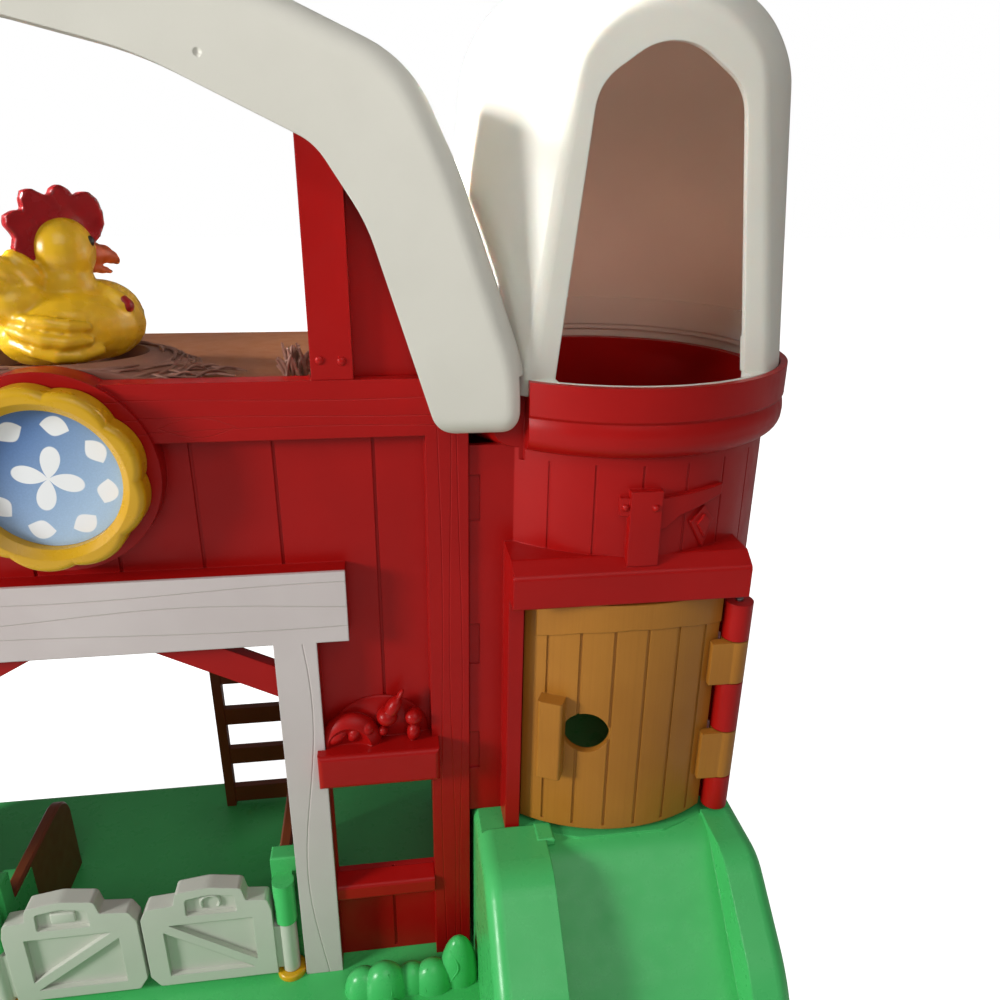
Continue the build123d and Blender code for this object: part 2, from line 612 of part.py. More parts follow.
def hen_beak(body):
    """Orange beak: two short cones, nearly closed."""
    tip = HEN_HEAD_X + HEN_HEAD_R
    upper = Pos(tip + 2.4, HEN_Y, HEN_HEAD_Z - 2.2) * Rot(0, 97, 0) * Cone(5, 0.8, 10)
    lower = Pos(tip + 0.6, HEN_Y, HEN_HEAD_Z - 7.5) * Rot(0, 100, 0) * Cone(3.4, 0.8, 8)
    return (upper + lower) - body


def hen_spring():
    """Return spring round the hen's stem."""
    z0 = LOFT_TOP - SPRING_POCKET + SPRING_WIRE_R
    z1 = HEN_BASE + SPRING_ROOM - SPRING_WIRE_R
    path = Helix((z1 - z0) / SPRING_TURNS, z1 - z0, SPRING_R - SPRING_WIRE_R)
    wire = Plane(origin=path @ 0, z_dir=path % 0) * Circle(SPRING_WIRE_R)
    return Pos(HEN_X, HEN_Y, z0) * sweep(wire, path, is_frenet=True)


def pan_screw(length):
    """Screw pointing up +Z from the underside of its head at the origin."""
    head = Pos(0, 0, -SCREW_HEAD_H / 2) * Cylinder(SCREW_HEAD_R, SCREW_HEAD_H)
    return head + Pos(0, 0, length / 2) * Cylinder(SCREW_R, length)


# ------------------------------------------------------------------ gable and roof arch
def both_halves(half, radii, apex_radius):
    """Area under an arch line whose right half is given from its foot to its apex."""
    points = half + [(-x, z) for x, z in reversed(half[:-1])]
    return rounded(points, radii + (apex_radius,) + tuple(reversed(radii)))


def arch_outer():
    x = ARCH_FOOT_OUT
    z = ARCH_TOP_OUT
    half = [(x, ARCH_FOOT_Z), (x - 0.6, ARCH_FOOT_Z + 24.5), (x - 24.6, z - 83), (x - 40.6, z - 49),
            (x - 123.6, z - 13.5), (0, z)]
    return both_halves(half, (ARCH_EDGE_R + 1, 70, 110, 40, 90), 60)


def arch_inner():
    x = ARCH_FOOT_IN
    z = ARCH_TOP_IN
    half = [(x + 18, ARCH_FOOT_Z - 5), (x + 18, ARCH_FOOT_Z), (x - 0.3, ARCH_FOOT_Z + 0.6),
            (x - 23.5, z - 61), (x - 39, z - 36.5), (x - 92, z - 11.5), (0, z)]
    return both_halves(half, (0, 0, 12, 60, 20, 110), 60)


def roof_arch():
    """White gambrel arch: a soft-edged channel open to the back, with a roof lip above."""
    outer = arch_outer()
    inner = arch_inner()
    face = slab(outer, -ARCH_OUT, 0)
    face = fillet([e for e in face.edges() if e.bounding_box().max.Y < 0.01 - ARCH_OUT], ARCH_EDGE_R)
    core = slab(offset(outer, -ARCH_WALL), ARCH_WALL - ARCH_OUT, 1)
    front = [e for e in core.edges() if e.bounding_box().max.Y < ARCH_WALL - ARCH_OUT + 0.01]
    core = fillet(front, ARCH_EDGE_R - ARCH_WALL)
    arch = face - (core - slab(offset(inner, ARCH_WALL), -FAR, FAR)) - slab(inner, -FAR, FAR)
    lip = (outer - offset(outer, -ARCH_WALL)) & rect(-FAR, FAR, WALL_H + 4, FAR)
    arch += slab(lip, -ARCH_WALL, ARCH_LIP_D)
    for (x, z), end in zip(ROOF_SCREWS, (0, PLANK_SETBACK)):
        for side in (-1, 1):
            arch += rod_y(side * x, z, SCREW_BOSS_R - 0.2, 1.0 - ARCH_OUT, end)
            arch -= rod_y(side * x, z, SCREW_R, 3.0 - ARCH_OUT, end + 1)
    for side in (-1, 1):
        arch -= Pos(side * ARCH_DIMPLE[0], -ARCH_OUT - 1.2, ARCH_TOP_OUT - ARCH_DIMPLE[1]) * Sphere(1.8)
    return biggest(arch - silo_clearance())


def silo_clearance():
    """Room for the silo's collar and hood behind the right foot of the arch."""
    lower = rod(SILO_DX, SILO_DY, RIM_R + 2, SILO_RIM - COLLAR_H - 5, SILO_RIM + 2)
    return lower + rod(SILO_DX, SILO_DY, HOOD_R + 1, SILO_RIM - 5, FAR)


def gable_frame():
    """Right gable: a stud with the recessed panel behind it, cut to the arch."""
    outer = offset(arch_outer(), -ARCH_WALL - 0.6)
    area = outer & rect(STUD_X, FAR, WALL_H, FAR)
    panel = slab(area, PLANK_SETBACK, PANEL_BACK)
    stud = slab(area & rect(STUD_X, STUD_X + STUD_W, WALL_H, FAR), GAP, PANEL_BACK)
    x, z = ROOF_SCREWS[1]
    frame = panel + stud - rod_y(x, z, SCREW_R + RUN, -FAR, FAR)
    return biggest(frame - silo_clearance())


# ------------------------------------------------------------------ dial
def dial_ring():
    """Yellow grip ring with rounded lobes, a back disc and the hub it turns on."""
    step = 360 / DIAL_LOBES
    low = DIAL_R - DIAL_LOBE_H
    edges = []
    for i in range(DIAL_LOBES):
        a, m, b = (radians(step * (i + f)) for f in (0, 0.5, 1))
        edges.append(ThreePointArc((low * cos(a), low * sin(a)), (DIAL_R * cos(m), DIAL_R * sin(m)),
                                   (low * cos(b), low * sin(b))))
    outline = Pos(0, DIAL_Z) * make_face(edges)
    back = -BEZEL_OUT - GAP
    ring = slab(outline, back - DIAL_T, back)
    front = [e for e in ring.edges() if e.bounding_box().max.Y < back - DIAL_T + 0.01]
    ring = fillet(front, 2.8)
    ring -= rod_y(0, DIAL_Z, DIAL_BORE_R, back - DIAL_T - 1, back - DIAL_DISC_T)
    ring -= Pos(0, back - DIAL_T + 1.5, DIAL_Z) * Rot(90, 0, 0) * Cone(DIAL_BORE_R, DIAL_BORE_R + 3, 3.01)
    ring += rod_y(0, DIAL_Z, DIAL_HUB_R, back - 0.5, PANEL_BACK + GAP)
    return ring - rod_y(0, DIAL_Z, SCREW_R, back + 1, PANEL_BACK + 5)


def dial_picture():
    back = -BEZEL_OUT - GAP - DIAL_DISC_T
    return rod_y(0, DIAL_Z, DIAL_BORE_R - 0.1, back - DIAL_PICTURE_T, back)


def dial_washer():
    y = PANEL_BACK + GAP
    return rod_y(0, DIAL_Z, WASHER_R, y, y + WASHER_T) - rod_y(0, DIAL_Z, SCREW_R + RUN, y - 1, y + 3)


def dial_screw():
    return Pos(0, PANEL_BACK + GAP + WASHER_T, DIAL_Z) * Rot(90, 0, 0) * pan_screw(11)


# ------------------------------------------------------------------ gates
def gate_leaf():
    """Right half gate: framed panel with a diagonal brace, an arched window and its pivot."""
    left = GATE_MID_GAP / 2
    right = GATE_PIN_X - 6
    arch_x = (left + right) / 2 + 2.1
    top = GATE_TOP
    side = GATE_SHOULDER
    points = [(left + 4, GATE_BOTTOM), (left, 10), (left, 46), (left + 3, side), (arch_x - 16.2, side + 1),
              (arch_x - 14.7, top - 2), (arch_x, top), (arch_x + 14.7, top - 2.5), (arch_x + 16.2, side),
              (right - 1.5, side - 1), (right, side - 8), (right, GATE_BOTTOM)]
    leaf = slab(rounded(points, (2, 0, 0, 2, 1, 2.5, 12, 2.5, 1, 2, 0, 0)), -GATE_T / 2, GATE_T / 2)
    arm = box(right - 1, GATE_PIN_X, -2.6, 2.6, GATE_BOTTOM + 2, GATE_KNUCKLE_TOP - 2)
    x0 = left + GATE_STILE_W
    x1 = right - GATE_STILE_W
    low = GATE_BOTTOM + 6
    high = side - 11
    brace = make_face(Polyline((x0, high - 4), (x0, high + 2), (x1, low + 5), (x1, low - 1), close=True))
    panels = rect(x0, x1, low, high) - brace
    leaf -= slab(panels, -GATE_T, 2.5 - GATE_T / 2) + slab(panels, GATE_T / 2 - 2.5, GATE_T)
    arch = rounded([(arch_x - 11.3, side - 6), (arch_x + 11.7, side - 6), (arch_x + 11.2, side + 3.5),
                    (arch_x + 0.2, top - 4.5), (arch_x - 10.8, side + 3.5)], (1, 1, 1.5, 10, 1.5))
    leaf -= slab(arch, -GATE_T, 2.2 - GATE_T / 2)
    knuckle = rod(GATE_PIN_X, 0, GATE_KNUCKLE_R, BUSH_H + 0.3, GATE_KNUCKLE_TOP)
    stub = rod(GATE_PIN_X, 0, GATE_PIN_R, -5, GATE_KNUCKLE_TOP + PIN_REACH)
    return leaf + arm + knuckle + stub


def gate_bush():
    """Yellow ring let into the floor round the gate's lower pivot."""
    ring = rod(GATE_PIN_X, 0, BUSH_R, 0, BUSH_H)
    ring = fillet(ring.edges().group_by(Axis.Z)[-1], 1.2)
    return ring - rod(GATE_PIN_X, 0, GATE_PIN_R + RUN, -10, 10)


def gate_post():
    """Green post behind the gate: carries the upper pivot in front and the stall divider behind."""
    x0 = DOOR_HALF_W - 13.2
    x1 = DOOR_HALF_W - GAP
    under = GATE_KNUCKLE_TOP + GAP
    post = box(x0, x1, GATE_KNUCKLE_R + 1.2, 14, 0, GATE_POST_TOP)
    post = fillet(post.edges().group_by(Axis.Z)[-1], 1.0)
    post += box(x0, x1, 13, 34, 0, DIVIDER_H - 3)
    post += rod(GATE_PIN_X, 0, GATE_BOSS_R, under, GATE_BOSS_TOP)
    post += box(GATE_PIN_X - 4, GATE_PIN_X + 4, 0, 8, under, GATE_BOSS_TOP)
    post -= rod(GATE_PIN_X, 0, GATE_PIN_R + RUN, 0, GATE_KNUCKLE_TOP + PIN_REACH + 1)
    post -= rod(GATE_PIN_X, 0, BUSH_R + GAP, -1, BUSH_H + GAP)
    return post - box(DIVIDER_X, DIVIDER_X + DIVIDER_T, DIVIDER_FRONT, FAR, -1, FAR)


def stall_divider():
    """Brown stall divider with a chamfered top edge, rounded at its back."""
    points = [(DIVIDER_FRONT, 0), (DIVIDER_FRONT, DIVIDER_H - 1), (DIVIDER_BACK, DIVIDER_H),
              (DIVIDER_BACK, 0)]
    board = side_slab(rounded(points, (0, 3, DIVIDER_CORNER_R, 0)), DIVIDER_X, DIVIDER_X + DIVIDER_T)
    tops = [e for e in board.edges() if e.bounding_box().size.X < 0.01 and e.bounding_box().min.Z > 1]
    return chamfer(tops, 1.0)


def ladder():
    """Brown ladder from the yard up to the back edge of the loft."""
    y0 = LOFT_BACK
    y1 = LOFT_BACK + LADDER_RAIL_T
    x0 = LADDER_X
    x1 = LADDER_X + LADDER_W
    top = LOFT_TOP - 2
    shapes = [box(x0, x0 + LADDER_RAIL_W, y0, y1, 0, top), box(x1 - LADDER_RAIL_W, x1, y0, y1, 0, top)]
    z = RUNG_FIRST
    while z < top - RUNG_H:
        shapes.append(box(x0 + 1, x1 - 1, y0 + 0.6, y1, z - RUNG_H / 2, z + RUNG_H / 2))
        z += RUNG_PITCH
    return fused(shapes)


# ------------------------------------------------------------------ silo
def on_silo(r, deg):
    """Point on a circle about the silo's axis; 0 degrees faces the front, positive to the right."""
    a = radians(deg)
    return SILO_DX + r * sin(a), SILO_DY - r * cos(a)


def sector(deg0, deg1, z0, z1):
    """Wedge about the silo's axis between two angles, under 180 degrees wide."""
    steps = 4
    points = [(SILO_DX, SILO_DY)]
    for i in range(steps + 1):
        points.append(on_silo(2 * SILO_PAD_R, deg0 + (deg1 - deg0) * i / steps))
    return Pos(0, 0, z0) * extrude(make_face(Polyline(*points, close=True)), z1 - z0)


def ring_solid(r0, r1, z0, z1):
    return rod(SILO_DX, SILO_DY, r1, z0, z1) - rod(SILO_DX, SILO_DY, r0, z0 - 1, z1 + 1)


def silo_relief(points, deg, r):
    """Outline of (degrees, height) points about one angle, raised from the silo's face to radius r."""
    flat = [(r * sin(radians(a - deg)), z) for a, z in points]
    plate = slab(make_face(Polyline(*flat, close=True)), -r - 1, 12 - r)
    plate = Pos(SILO_DX, SILO_DY, 0) * Rot(0, 0, deg) * plate
    return plate & rod(SILO_DX, SILO_DY, r, 0, FAR)


def silo_collar():
    """Turned rim: a plain band over a slight waist and a big rounded bead."""
    inner = RIM_R - COLLAR_WALL
    body_in = SILO_R - SILO_WALL
    waist = RIM_R - WAIST_DEPTH
    z1 = SILO_RIM
    z0 = z1 - COLLAR_H
    step = z1 - RIM_H
    with BuildPart() as collar:
        with BuildSketch(Plane.XZ):
            with BuildLine():
                Line((body_in, z0), (SILO_R, z0))
                ThreePointArc((SILO_R, z0), (RIM_R - 1.9, z0 + 2.4), (RIM_R, z0 + 7.5))
                ThreePointArc((RIM_R, z0 + 7.5), (RIM_R - 0.2, z0 + 12), (waist, step - 0.6))
                Polyline((waist, step - 0.6), (RIM_R, step + 0.6), (RIM_R, z1), (inner, z1),
                         (inner, z1 - HOOD_SKIRT), (body_in, z1 - HOOD_SKIRT), (body_in, z0))
            make_face()
        revolve(axis=Axis.Z)
    return Pos(SILO_DX, SILO_DY, 0) * collar.part


def silo_header():
    """Shelf over the door, its front edge straight, and the upright jamb at its left end."""
    z0 = HEADER_Z
    z1 = HEADER_Z + HEADER_H
    side = rounded([(HEADER_Y, z0), (HEADER_Y, z1 - 5), (HEADER_Y + 7, z1), (20, z1), (20, z0)],
                   (1, 2.5, 2, 0, 0))
    header = side_slab(side, HEADER_X, HEADER_X + HEADER_W)
    return header + box(HEADER_X, HEADER_X + JAMB_W, JAMB_Y, 22, SILO_FLOOR, z0 + 1)


def silo_hinge():
    """The silo's three knuckles with their webs to the tube."""
    dx = SILO_DX - HINGE_X
    dy = SILO_DY - HINGE_Y
    lean = atan2(-dx, dy)
    shapes = []
    for low, high in BODY_KNUCKLES:
        z0 = SILO_FLOOR + low
        z1 = SILO_FLOOR + high
        shapes.append(rod(HINGE_X, HINGE_Y, KNUCKLE_R, z0, z1))
        web = Rot(0, 0, degrees(lean)) * Box(4, 12, z1 - z0)
        shapes.append(Pos(HINGE_X - 7 * sin(lean), HINGE_Y + 7 * cos(lean), (z0 + z1) / 2) * web)
    return fused(shapes)


def silo_body():
    """Red silo tube with its collar, flat barn side, header, jamb and hinge knuckles."""
    inner = SILO_R - SILO_WALL
    top = SILO_RIM - COLLAR_H
    x0 = WALL_HALF_W + SIDE_GAP
    body = ring_solid(inner, SILO_R, SILO_FLOOR, top + 0.5)
    stave_top = top - 3.5
    for i in range(STAVE_COUNT):
        deg = STAVE_START + i * STAVE_DEG
        x, y = on_silo(SILO_R, deg)
        groove = Rot(0, 0, deg) * Box(STAVE_W, 2 * STAVE_D, stave_top - SILO_FLOOR)
        body -= Pos(x, y, (SILO_FLOOR + stave_top) / 2) * groove
    body += silo_collar()
    flat = box(x0, x0 + SILO_WALL, -FAR, FAR, SILO_FLOOR, SILO_RIM - HOOD_SKIRT)
    body += rod(SILO_DX, SILO_DY, SILO_R, SILO_FLOOR, top) & flat
    body += rod(SILO_DX, SILO_DY, RIM_R - COLLAR_WALL, top, SILO_RIM - HOOD_SKIRT) & flat
    web = box(x0, HEADER_X + JAMB_W, 2, 5, SILO_FLOOR, top + 1)
    for z in (24, 80, 148):
        web -= box(x0 - 1, x0 + 4.5, 1, 2.8, SILO_FLOOR + z, SILO_FLOOR + z + 20)
    outside = silo_header() + web + silo_hinge() + pulley_relief()
    outside -= rod(SILO_DX, SILO_DY, SILO_R - 1, 0, FAR)
    door_way = sector(SDOOR_LEFT_DEG + 4, SDOOR_RIGHT_DEG - 4, SILO_FLOOR - 1, SDOOR_TOP - 3)
    body -= door_way & ring_solid(inner - 3, SILO_R + 4, SILO_FLOOR - 1, SDOOR_TOP - 3)
    body += outside
    body -= rod(HINGE_X, HINGE_Y, HINGE_PIN_R, SILO_FLOOR, HEADER_Z)
    body -= box(ARCH_FOOT_IN - 5, ARCH_FOOT_OUT + 0.5, -40, 0.6, top - 5, SILO_RIM + 10)
    return biggest(body - box(-FAR, x0, -FAR, FAR, 0, FAR))


def pulley_relief():
    """Moulded hay pulley over the header: bracket, riveted plate, arm and faceted hook."""
    z = HEADER_Z + HEADER_H
    bracket = silo_relief([(-5.6, z - 3), (-5.6, z + 28.5), (4.2, z + 28.5), (4.2, z - 3)], -0.7, SILO_R + 4)
    plate = silo_relief([(-8.6, z + 18), (-8.6, z + 25.5), (-5, z + 25.5), (-5, z + 18)], -7, SILO_R + 2.6)
    arm = silo_relief([(4, z + 24.6), (27, z + 27.2), (27, z + 23), (15, z + 18.3), (11, z + 17),
                       (6.4, z + 11.9), (4, z + 11.9)], 15, SILO_R + 2.2)
    hook = [(20.6, z + 19.2), (25, z + 12.6), (21.3, z + 1), (15.6, z + 12.6)]
    shapes = [bracket, plate, arm, silo_relief(hook, 20.5, SILO_R + 1.6)]
    small = [(20.5 + (a - 20.5) * 0.55, z + 11.4 + (h - z - 11.4) * 0.55) for a, h in hook]
    shapes.append(silo_relief(small, 20.5, SILO_R + 2.8))
    for deg, r in ((-6.9, SILO_R + 2.4), (2.2, SILO_R + 3.8)):
        x, y = on_silo(r, deg)
        shapes.append(Pos(x, y, z + 21.7) * Sphere(1.5))
    return fused(shapes)


def silo_door():
    """Tan curved door with staves, a raised top band, a grip, a finger hole and two knuckles."""
    r1 = SDOOR_R
    r0 = SDOOR_R - SDOOR_T
    top = SDOOR_TOP
    panel = ring_solid(r0, r1, SDOOR_BOTTOM, top)
    low_edge = [(SDOOR_LEFT_DEG - 1, top - 19.4), (-18, top - 13.4), (-2, top - 11.4), (14, top - 12.4),
                (SDOOR_RIGHT_DEG + 1, top - 16.4)]
    band = silo_relief(low_edge + [(SDOOR_RIGHT_DEG + 1, top), (SDOOR_LEFT_DEG - 1, top)],
                       0, r1 + SDOOR_BAND_OUT)
    for i in range(-3, 4):
        deg = (i + 0.5) * STAVE_DOOR_DEG - 2
        if SDOOR_LEFT_DEG + 5 < deg < SDOOR_RIGHT_DEG - 3:
            x, y = on_silo(r1, deg)
            groove = Rot(0, 0, deg) * Box(GROOVE_W, 2 * GROOVE_D, top - SDOOR_BOTTOM - 4)
            panel -= Pos(x, y, (SDOOR_BOTTOM + top) / 2) * groove
    panel += band - rod(SILO_DX, SILO_DY, r0 + 1, 0, FAR)
    panel &= sector(SDOOR_LEFT_DEG, SDOOR_RIGHT_DEG, SDOOR_BOTTOM - 1, top + 1)
    x, y = on_silo(r1, FINGER_DEG)
    panel -= Pos(x, y, FINGER_Z) * Rot(0, 0, FINGER_DEG) * Rot(90, 0, 0) * Cylinder(FINGER_R, 20)
    x, y = on_silo(r1 + GRIP_OUT / 2 - 1, GRIP_DEG)
    grip = Pos(x, y, GRIP_Z) * Rot(0, 0, GRIP_DEG) * Box(GRIP_W, GRIP_OUT + 2, GRIP_H)
    grip = fillet(grip.edges().filter_by(Axis.Z), 1.5)
    panel += grip - rod(SILO_DX, SILO_DY, r0 + 1, 0, FAR)
    for low, high in DOOR_KNUCKLES:
        z0 = SILO_FLOOR + low
        z1 = SILO_FLOOR + high
        arm = box(HINGE_X - 12, HINGE_X, HINGE_Y - KNUCKLE_R + 0.5, HINGE_Y - 1, z0, z1)
        panel += rod(HINGE_X, HINGE_Y, KNUCKLE_R, z0, z1) + arm - rod(SILO_DX, SILO_DY, r0 + 0.5, 0, FAR)
    return biggest(panel - rod(HINGE_X, HINGE_Y, HINGE_PIN_R + RUN, 0, FAR))


def silo_door_pin():
    z0 = SILO_FLOOR + BODY_KNUCKLES[0][0]
    z1 = SILO_FLOOR + BODY_KNUCKLES[-1][1]
    return rod(HINGE_X, HINGE_Y, HINGE_PIN_R, z0 - 1, z1 + 1)


def hood_solid(inset):
    """Solid the shape of the hood, shrunk by the given wall: a dome with a flat, soft-edged front."""
    low = HOOD_R - inset
    high = HOOD_SHOULDER_R - inset
    z1 = SILO_RIM + HOOD_SHOULDER
    top = SILO_RIM + HOOD_TOP - inset
    with BuildPart() as dome:
        with BuildSketch(Plane.XZ):
            with BuildLine():
                Polyline((0, SILO_RIM), (low, SILO_RIM), (high, z1))
                Spline((high, z1), (high - 4, z1 + 14 - inset / 3), (high - 17.5, top - 9),
                       (high - 39.5, top - 1.6), (0, top), tangents=((-0.085, 1), (-1, 0)))
                Line((0, top), (0, SILO_RIM))
            make_face()
        revolve(axis=Axis.Z)
    front = inset - HOOD_FRONT
    dome = dome.part & box(-FAR, FAR, front, FAR, 0, FAR)
    crease = [e for e in dome.edges() if e.bounding_box().max.Y < front + 0.01
              and e.bounding_box().max.Z > SILO_RIM + 1]
    return fillet(crease, HOOD_EDGE_R - inset)


def mouth_outline():
    z = SILO_RIM + MOUTH_SPRING
    return rounded([(-MOUTH_LOW, SILO_RIM - 1), (-MOUTH_HIGH, z), (0, SILO_RIM + MOUTH_TOP + 5),
                    (MOUTH_HIGH, z), (MOUTH_LOW, SILO_RIM - 1)], (0, 18, 30, 18, 0))


def silo_hood():
    """White domed hood: flat front with a wide arched mouth, on a flange and a skirt in the collar."""
    z0 = SILO_RIM - HOOD_SKIRT
    inner = hood_solid(HOOD_T)
    hood = hood_solid(0) - inner
    band = inner & Cylinder(FAR, 2 * (SILO_RIM + HOOD_BAND_H))
    hood += band - hood_solid(HOOD_T + HOOD_BAND_T)
    hood -= slab(mouth_outline(), -FAR, -HOOD_FRONT / 2)
    skirt = Pos(0, 0, SILO_RIM - HOOD_SKIRT / 2) * Cylinder(HOOD_R, HOOD_SKIRT)
    well = HOOD_R - HOOD_SKIRT_T
    skirt -= Pos(0, 0, z0) * Cylinder(well, 2 * (HOOD_SKIRT - HOOD_FLANGE_T))
    floor_hole = Pos(0, 0, SILO_RIM) * Cylinder(well - 1.5, 3 * HOOD_SKIRT)
    mouth_hole = Pos(0, 0, SILO_RIM) * Cylinder(well, 3 * HOOD_SKIRT)
    skirt -= floor_hole & box(-FAR, FAR, HOOD_T - HOOD_FRONT, FAR, 0, FAR)
    skirt -= mouth_hole & box(-MOUTH_LOW, MOUTH_LOW, -FAR, 0, 0, FAR)
    hood = Pos(SILO_DX, SILO_DY, 0) * Rot(0, 0, HOOD_TURN) * (hood + skirt)
    return biggest(hood - box(-FAR, WALL_HALF_W + SIDE_GAP, -FAR, FAR, 0, SILO_RIM + 0.5))


def screws(places, z, length):
    return fused([Pos(x, y, z) * pan_screw(length) for x, y in places])


def roof_screws():
    places = [(side * x, z) for x, z in ROOF_SCREWS for side in (-1, 1)]
    return fused([Pos(x, PANEL_BACK, z) * Rot(90, 0, 0) * pan_screw(15) for x, z in places])


def main():
    save("base_tray", base_tray())
    save("silo_ramp", silo_ramp())
    save("front_wall", front_wall())
    save("doorway_trim", doorway_trim())
    for name, make in (("window_ledge", window_ledge), ("window_sill", window_sill), ("side_wall", side_wall),
                       ("gable_frame", gable_frame), ("gate", gate_leaf), ("gate_bush", gate_bush),
                       ("gate_post", gate_post), ("stall_divider", stall_divider)):
        shape = make()
        save(name + "_right", shape)
        save(name + "_left", mirrored(shape))
    save("loft_floor", loft_floor())
    save("nest", nest())
    hen = hen_body()
    save("hen_body", hen)
    save("hen_comb", hen_comb(hen))
    save("hen_beak", hen_beak(hen))
    save("hen_spring", hen_spring())
    washer_z = HEN_STEM_END - WASHER_T
    save("hen_screw", Pos(HEN_X, HEN_Y, washer_z) * pan_screw(14))
    washer = rod(HEN_X, HEN_Y, HEN_STEM_R + 4, washer_z, HEN_STEM_END)
    save("hen_washer", washer - rod(HEN_X, HEN_Y, SCREW_R + RUN, 0, FAR))
    save("roof_arch", roof_arch())
    save("dial_ring", dial_ring())
    save("dial_picture", dial_picture())
    save("dial_washer", dial_washer())
    save("dial_screw", dial_screw())
    save("ladder", ladder())
    save("silo_body", silo_body())
    save("silo_hood", silo_hood())
    save("silo_door", silo_door())
    save("silo_door_pin", silo_door_pin())
    save("wall_screws", screws(screw_places(), -BASE_WALL, SCREW_BITE))
    save("silo_screws", screws(SILO_SCREWS, -BASE_WALL, SCREW_BITE))
    save("roof_screws", roof_screws())


main()
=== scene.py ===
import random
from math import cos, pi, radians, sin

import bmesh
import bpy
from mathutils import Matrix, Vector


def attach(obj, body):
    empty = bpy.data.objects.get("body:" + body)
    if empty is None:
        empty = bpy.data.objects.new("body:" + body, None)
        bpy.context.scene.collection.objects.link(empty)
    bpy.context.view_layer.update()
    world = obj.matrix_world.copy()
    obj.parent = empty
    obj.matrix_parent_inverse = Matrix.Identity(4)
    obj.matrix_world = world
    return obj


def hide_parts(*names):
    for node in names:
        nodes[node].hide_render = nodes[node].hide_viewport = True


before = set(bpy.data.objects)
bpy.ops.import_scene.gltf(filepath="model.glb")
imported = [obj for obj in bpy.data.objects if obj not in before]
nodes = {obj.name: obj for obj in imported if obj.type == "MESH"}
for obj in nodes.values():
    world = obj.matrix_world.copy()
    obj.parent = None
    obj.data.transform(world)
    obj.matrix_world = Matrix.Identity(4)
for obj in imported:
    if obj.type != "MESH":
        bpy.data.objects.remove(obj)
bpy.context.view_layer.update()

# The toy stands on a pale table, seen from a little above its open doorway, from the left.
# The view is close, so the barn's left half and the foot of the ramp lie outside the picture.
camera = bpy.data.objects.new("camera", bpy.data.cameras.new("camera"))
bpy.context.scene.collection.objects.link(camera)
camera.data.sensor_width = 36.0
camera.data.lens = 29.34
camera.data.clip_start = 0.01
camera_turn = Matrix(((0.9901, 0.0404, -0.1345), (-0.1400, 0.3597, -0.9225), (0.0111, 0.9322, 0.3618)))
camera.matrix_world = Matrix.Translation((0.05936, -0.315, 0.3828)) @ camera_turn.normalized().to_4x4()
bpy.context.scene.camera = camera
bpy.context.scene.view_settings.view_transform = "Standard"


def hex_colour(text):
    """sRGB hex to the linear colour that a shader takes."""
    parts = [int(text[i:i + 2], 16) / 255 for i in (1, 3, 5)]
    return [c / 12.92 if c <= 0.04045 else ((c + 0.055) / 1.055) ** 2.4 for c in parts] + [1.0]


def add(tree, kind, settings=(), links=()):
    """One shader node with its settings, its inputs linked from other nodes' outputs."""
    node = tree.nodes.new(kind)
    for key, value in dict(settings).items():
        if isinstance(key, int) or key in node.inputs:
            node.inputs[key].default_value = value
        else:
            setattr(node, key, value)
    for key, (source, output) in dict(links).items():
        tree.links.new(source.outputs[output], node.inputs[key])
    return node


def at(x, y, z):
    """Millimetres from the doorway's middle, the corner posts' fronts and the barn floor, to the frame."""
    return Vector(((x - 63) / 1000, (y - 11) / 1000, (z + 18) / 1000))


def piece(name, mesh, body, material):
    """Link a finished mesh as a piece that rides on a body and takes the finish of a slot."""
    made = bpy.data.objects.new(name, mesh)
    bpy.context.scene.collection.objects.link(made)
    mesh.materials.append(material)
    for face in mesh.polygons:
        face.use_smooth = True
    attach(made, body)
    return made


def strands(name, paths, radius, sides):
    """Thin tubes along lists of points, tapering to their ends, as one mesh."""
    curve = bpy.data.curves.new(name, "CURVE")
    curve.dimensions = "3D"
    curve.bevel_depth = radius
    curve.bevel_resolution = sides
    curve.resolution_u = 5
    curve.use_fill_caps = True
    for points in paths:
        line = curve.splines.new("NURBS")
        line.points.add(len(points) - 1)
        for i, (spot, point) in enumerate(zip(line.points, points)):
            spot.co = (*point, 1.0)
            spot.radius = 0.55 if i in (0, len(points) - 1) else 1.0
        line.order_u = 3
        line.use_endpoint_u = True
    holder = bpy.data.objects.new(name + "_path", curve)
    mesh = bpy.data.meshes.new_from_object(holder)
    bpy.data.objects.remove(holder)
    mesh.name = name
    mesh.materials.clear()
    return mesh


# Table and surroundings: a plain white sweep. The key lamp stands far to the left and is fairly
# small, so the dial and the arch throw clear shadows to the right; a wide lamp fills from above,
# and a third reaches the hood's left side over the open loft.
floor_mesh = bpy.data.meshes.new("table")
sheet = bmesh.new()
bmesh.ops.create_grid(sheet, x_segments=1, y_segments=1, size=6.0)
sheet.to_mesh(floor_mesh)
sheet.free()
floor = bpy.data.objects.new("table", floor_mesh)
bpy.context.scene.collection.objects.link(floor)
pale = bpy.data.materials.new("pale_table_paint")
pale.use_nodes = True
tree = pale.node_tree
tree.nodes.clear()
path = add(tree, "ShaderNodeLightPath")
matt = add(tree, "ShaderNodeBsdfDiffuse", {"Color": hex_colour("#F4F4F2")})
glow = add(tree, "ShaderNodeEmission", {"Color": hex_colour("#FFFFFF"), "Strength": 1.0})
both = add(tree, "ShaderNodeAddShader", {}, {0: (matt, "BSDF"), 1: (glow, "Emission")})
mix = add(tree, "ShaderNodeMixShader", {}, {0: (path, "Is Camera Ray"), 1: (matt, "BSDF"), 2: (both, "Shader")})
add(tree, "ShaderNodeOutputMaterial", {}, {"Surface": (mix, "Shader")})
floor_mesh.materials.append(pale)

